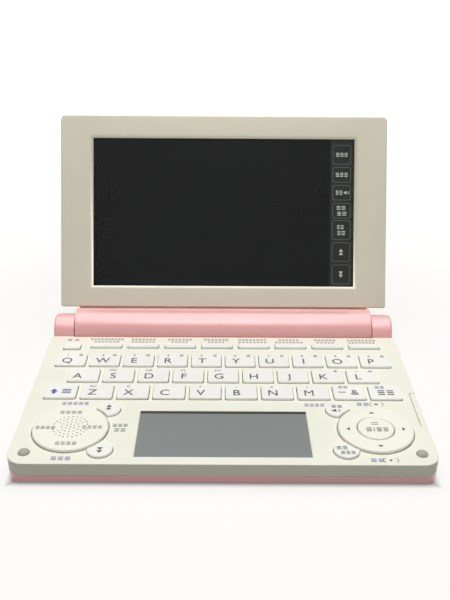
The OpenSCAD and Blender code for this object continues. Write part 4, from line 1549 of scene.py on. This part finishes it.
class DICTIONARY_OT_stage(bpy.types.Operator):
    """Pale floor, soft lamps and the camera"""

    bl_idname = "dictionary.stage"
    bl_label = "Stage"

    def execute(self, context):
        self.floor()
        self.world(context.scene)
        self.lamp("overhead lamp", look("stage").overhead, 1.1, (0, 0.14, 1.0))
        self.lamp("front lamp", look("stage").front, 0.42, (0.0, -0.46, 0.88))
        self.camera(context.scene)
        context.scene.view_settings.view_transform = "Standard"
        return {"FINISHED"}

    def floor(self):
        stage = look("stage")
        bm = bmesh.new()
        bmesh.ops.create_grid(bm, x_segments=8, y_segments=8, size=4.0)
        mesh = bpy.data.meshes.new("floor")
        bm.to_mesh(mesh)
        bm.free()
        material, tree = blank("floor", Roughness=0.9, Specular_IOR_Level=0.0, Emission_Color=WHITE)
        inputs = tree.nodes["Principled BSDF"].inputs
        grains = effect(tree, "moulded grain", {"Scale": 60.0})
        tone = blended(tree, grains["Mottle"], darker(stage.floor, 0.99), rgba(stage.floor))
        tree.links.new(tone, inputs["Base Color"])
        where = node(tree, "TexCoord").outputs["Object"]
        away = node(tree, "VectorMath", {0: where}, operation="LENGTH").outputs["Value"]
        sides = node(tree, "SeparateXYZ", {0: where}).outputs
        past = [
            calc(tree, "SUBTRACT", calc(tree, "ABSOLUTE", side), half * MM)
            for side, half in zip((sides["X"], sides["Y"]), CASE_HALF)
        ]
        # Inside the base's outline from above the floor's glow drops from 0.74 to 0.1: a painted shadow under
        # the object, on top of the lamps' own shadow.
        under = ranged(tree, calc(tree, "MAXIMUM", *past), -0.002, 0.001, 0.1, 0.74)
        white = calc(tree, "MULTIPLY", under, ranged(tree, away, 0.14, 0.5, 1.0, 1.35))
        tree.links.new(seen_white(tree, white), inputs["Emission Strength"])
        mesh.materials.append(material)
        ground = put("floor", mesh)
        ground.location.z = -0.00002

    def world(self, scene):
        world = bpy.data.worlds.new("plain air")
        scene.world = world
        world.use_nodes = True
        tree = world.node_tree
        background = tree.nodes["Background"]
        background.inputs["Color"].default_value = WHITE
        white = seen_white(tree, 1.0)
        strength = node(tree, "Mix", {0: white, 2: look("stage").air, 3: 1.0})
        tree.links.new(strength.outputs[0], background.inputs["Strength"])

    def lamp(self, name, power, size, place):
        light = bpy.data.lights.new(name, "AREA")
        light.energy = power
        light.size = size
        holder = put(name, light)
        holder.location = place
        holder.rotation_euler = (Vector((0, 0, 0.03)) - holder.location).to_track_quat("-Z", "Y").to_euler()

    def camera(self, scene):
        pitch, yaw, roll = (math.radians(a) for a in (26.87, 0.33, -0.45))
        ahead = Vector((math.sin(yaw) * math.cos(pitch), math.cos(yaw) * math.cos(pitch), -math.sin(pitch)))
        level = Vector((math.cos(yaw), -math.sin(yaw), 0))
        below = ahead.cross(level)
        right = math.cos(roll) * level + math.sin(roll) * below
        down = -math.sin(roll) * level + math.cos(roll) * below
        lens = bpy.data.cameras.new("camera")
        lens.lens = 48
        lens.sensor_width = 36
        lens.clip_start, lens.clip_end = 0.01, 20
        holder = put("camera", lens)
        turn = Matrix((right, -down, -ahead)).transposed().to_4x4()
        holder.matrix_world = Matrix.Translation(Vector((-1.08, -267.3, 180.3)) * MM) @ turn
        scene.camera = holder


# ---- panel and registration ----

STEPS = (
    DICTIONARY_OT_stage,
    DICTIONARY_OT_upper_case,
    DICTIONARY_OT_lower_case,
    DICTIONARY_OT_screws,
    DICTIONARY_OT_rubber,
    DICTIONARY_OT_side_sockets,
    DICTIONARY_OT_inner_parts,
    DICTIONARY_OT_handwriting_panel,
    DICTIONARY_OT_letter_keys,
    DICTIONARY_OT_subject_keys,
    DICTIONARY_OT_round_keys,
    DICTIONARY_OT_speaker_dial,
    DICTIONARY_OT_arrow_dial,
    DICTIONARY_OT_plate_prints,
    DICTIONARY_OT_stylus,
    DICTIONARY_OT_lid_back,
    DICTIONARY_OT_battery_cover,
    DICTIONARY_OT_lid_frame,
    DICTIONARY_OT_screen,
)

SETTINGS = {
    "case": DictionaryCase,
    "keys": DictionaryKeys,
    "screens": DictionaryScreens,
    "stage": DictionaryStage,
}


class DICTIONARY_PT_build(bpy.types.Panel):
    """Lists the settings and the steps of the build"""

    bl_label = "Electronic dictionary"
    bl_idname = "DICTIONARY_PT_build"
    bl_space_type = "VIEW_3D"
    bl_region_type = "UI"
    bl_category = "Dictionary"

    def draw(self, context):
        for name in SETTINGS:
            group = getattr(context.scene, "dictionary_" + name)
            box = self.layout.box()
            box.label(text=name.capitalize())
            for key in group.__annotations__:
                box.prop(group, key)
        for step in STEPS:
            self.layout.operator(step.bl_idname)


def register():
    for cls in (*SETTINGS.values(), *STEPS, DICTIONARY_PT_build):
        bpy.utils.register_class(cls)
    for name, cls in SETTINGS.items():
        setattr(bpy.types.Scene, "dictionary_" + name, PointerProperty(type=cls))


def unregister():
    for name in SETTINGS:
        delattr(bpy.types.Scene, "dictionary_" + name)
    for cls in reversed((*SETTINGS.values(), *STEPS, DICTIONARY_PT_build)):
        bpy.utils.unregister_class(cls)


def main():
    register()
    for step in STEPS:
        group, name = step.bl_idname.split(".")
        getattr(getattr(bpy.ops, group), name)()


if __name__ == "__main__":
    main()
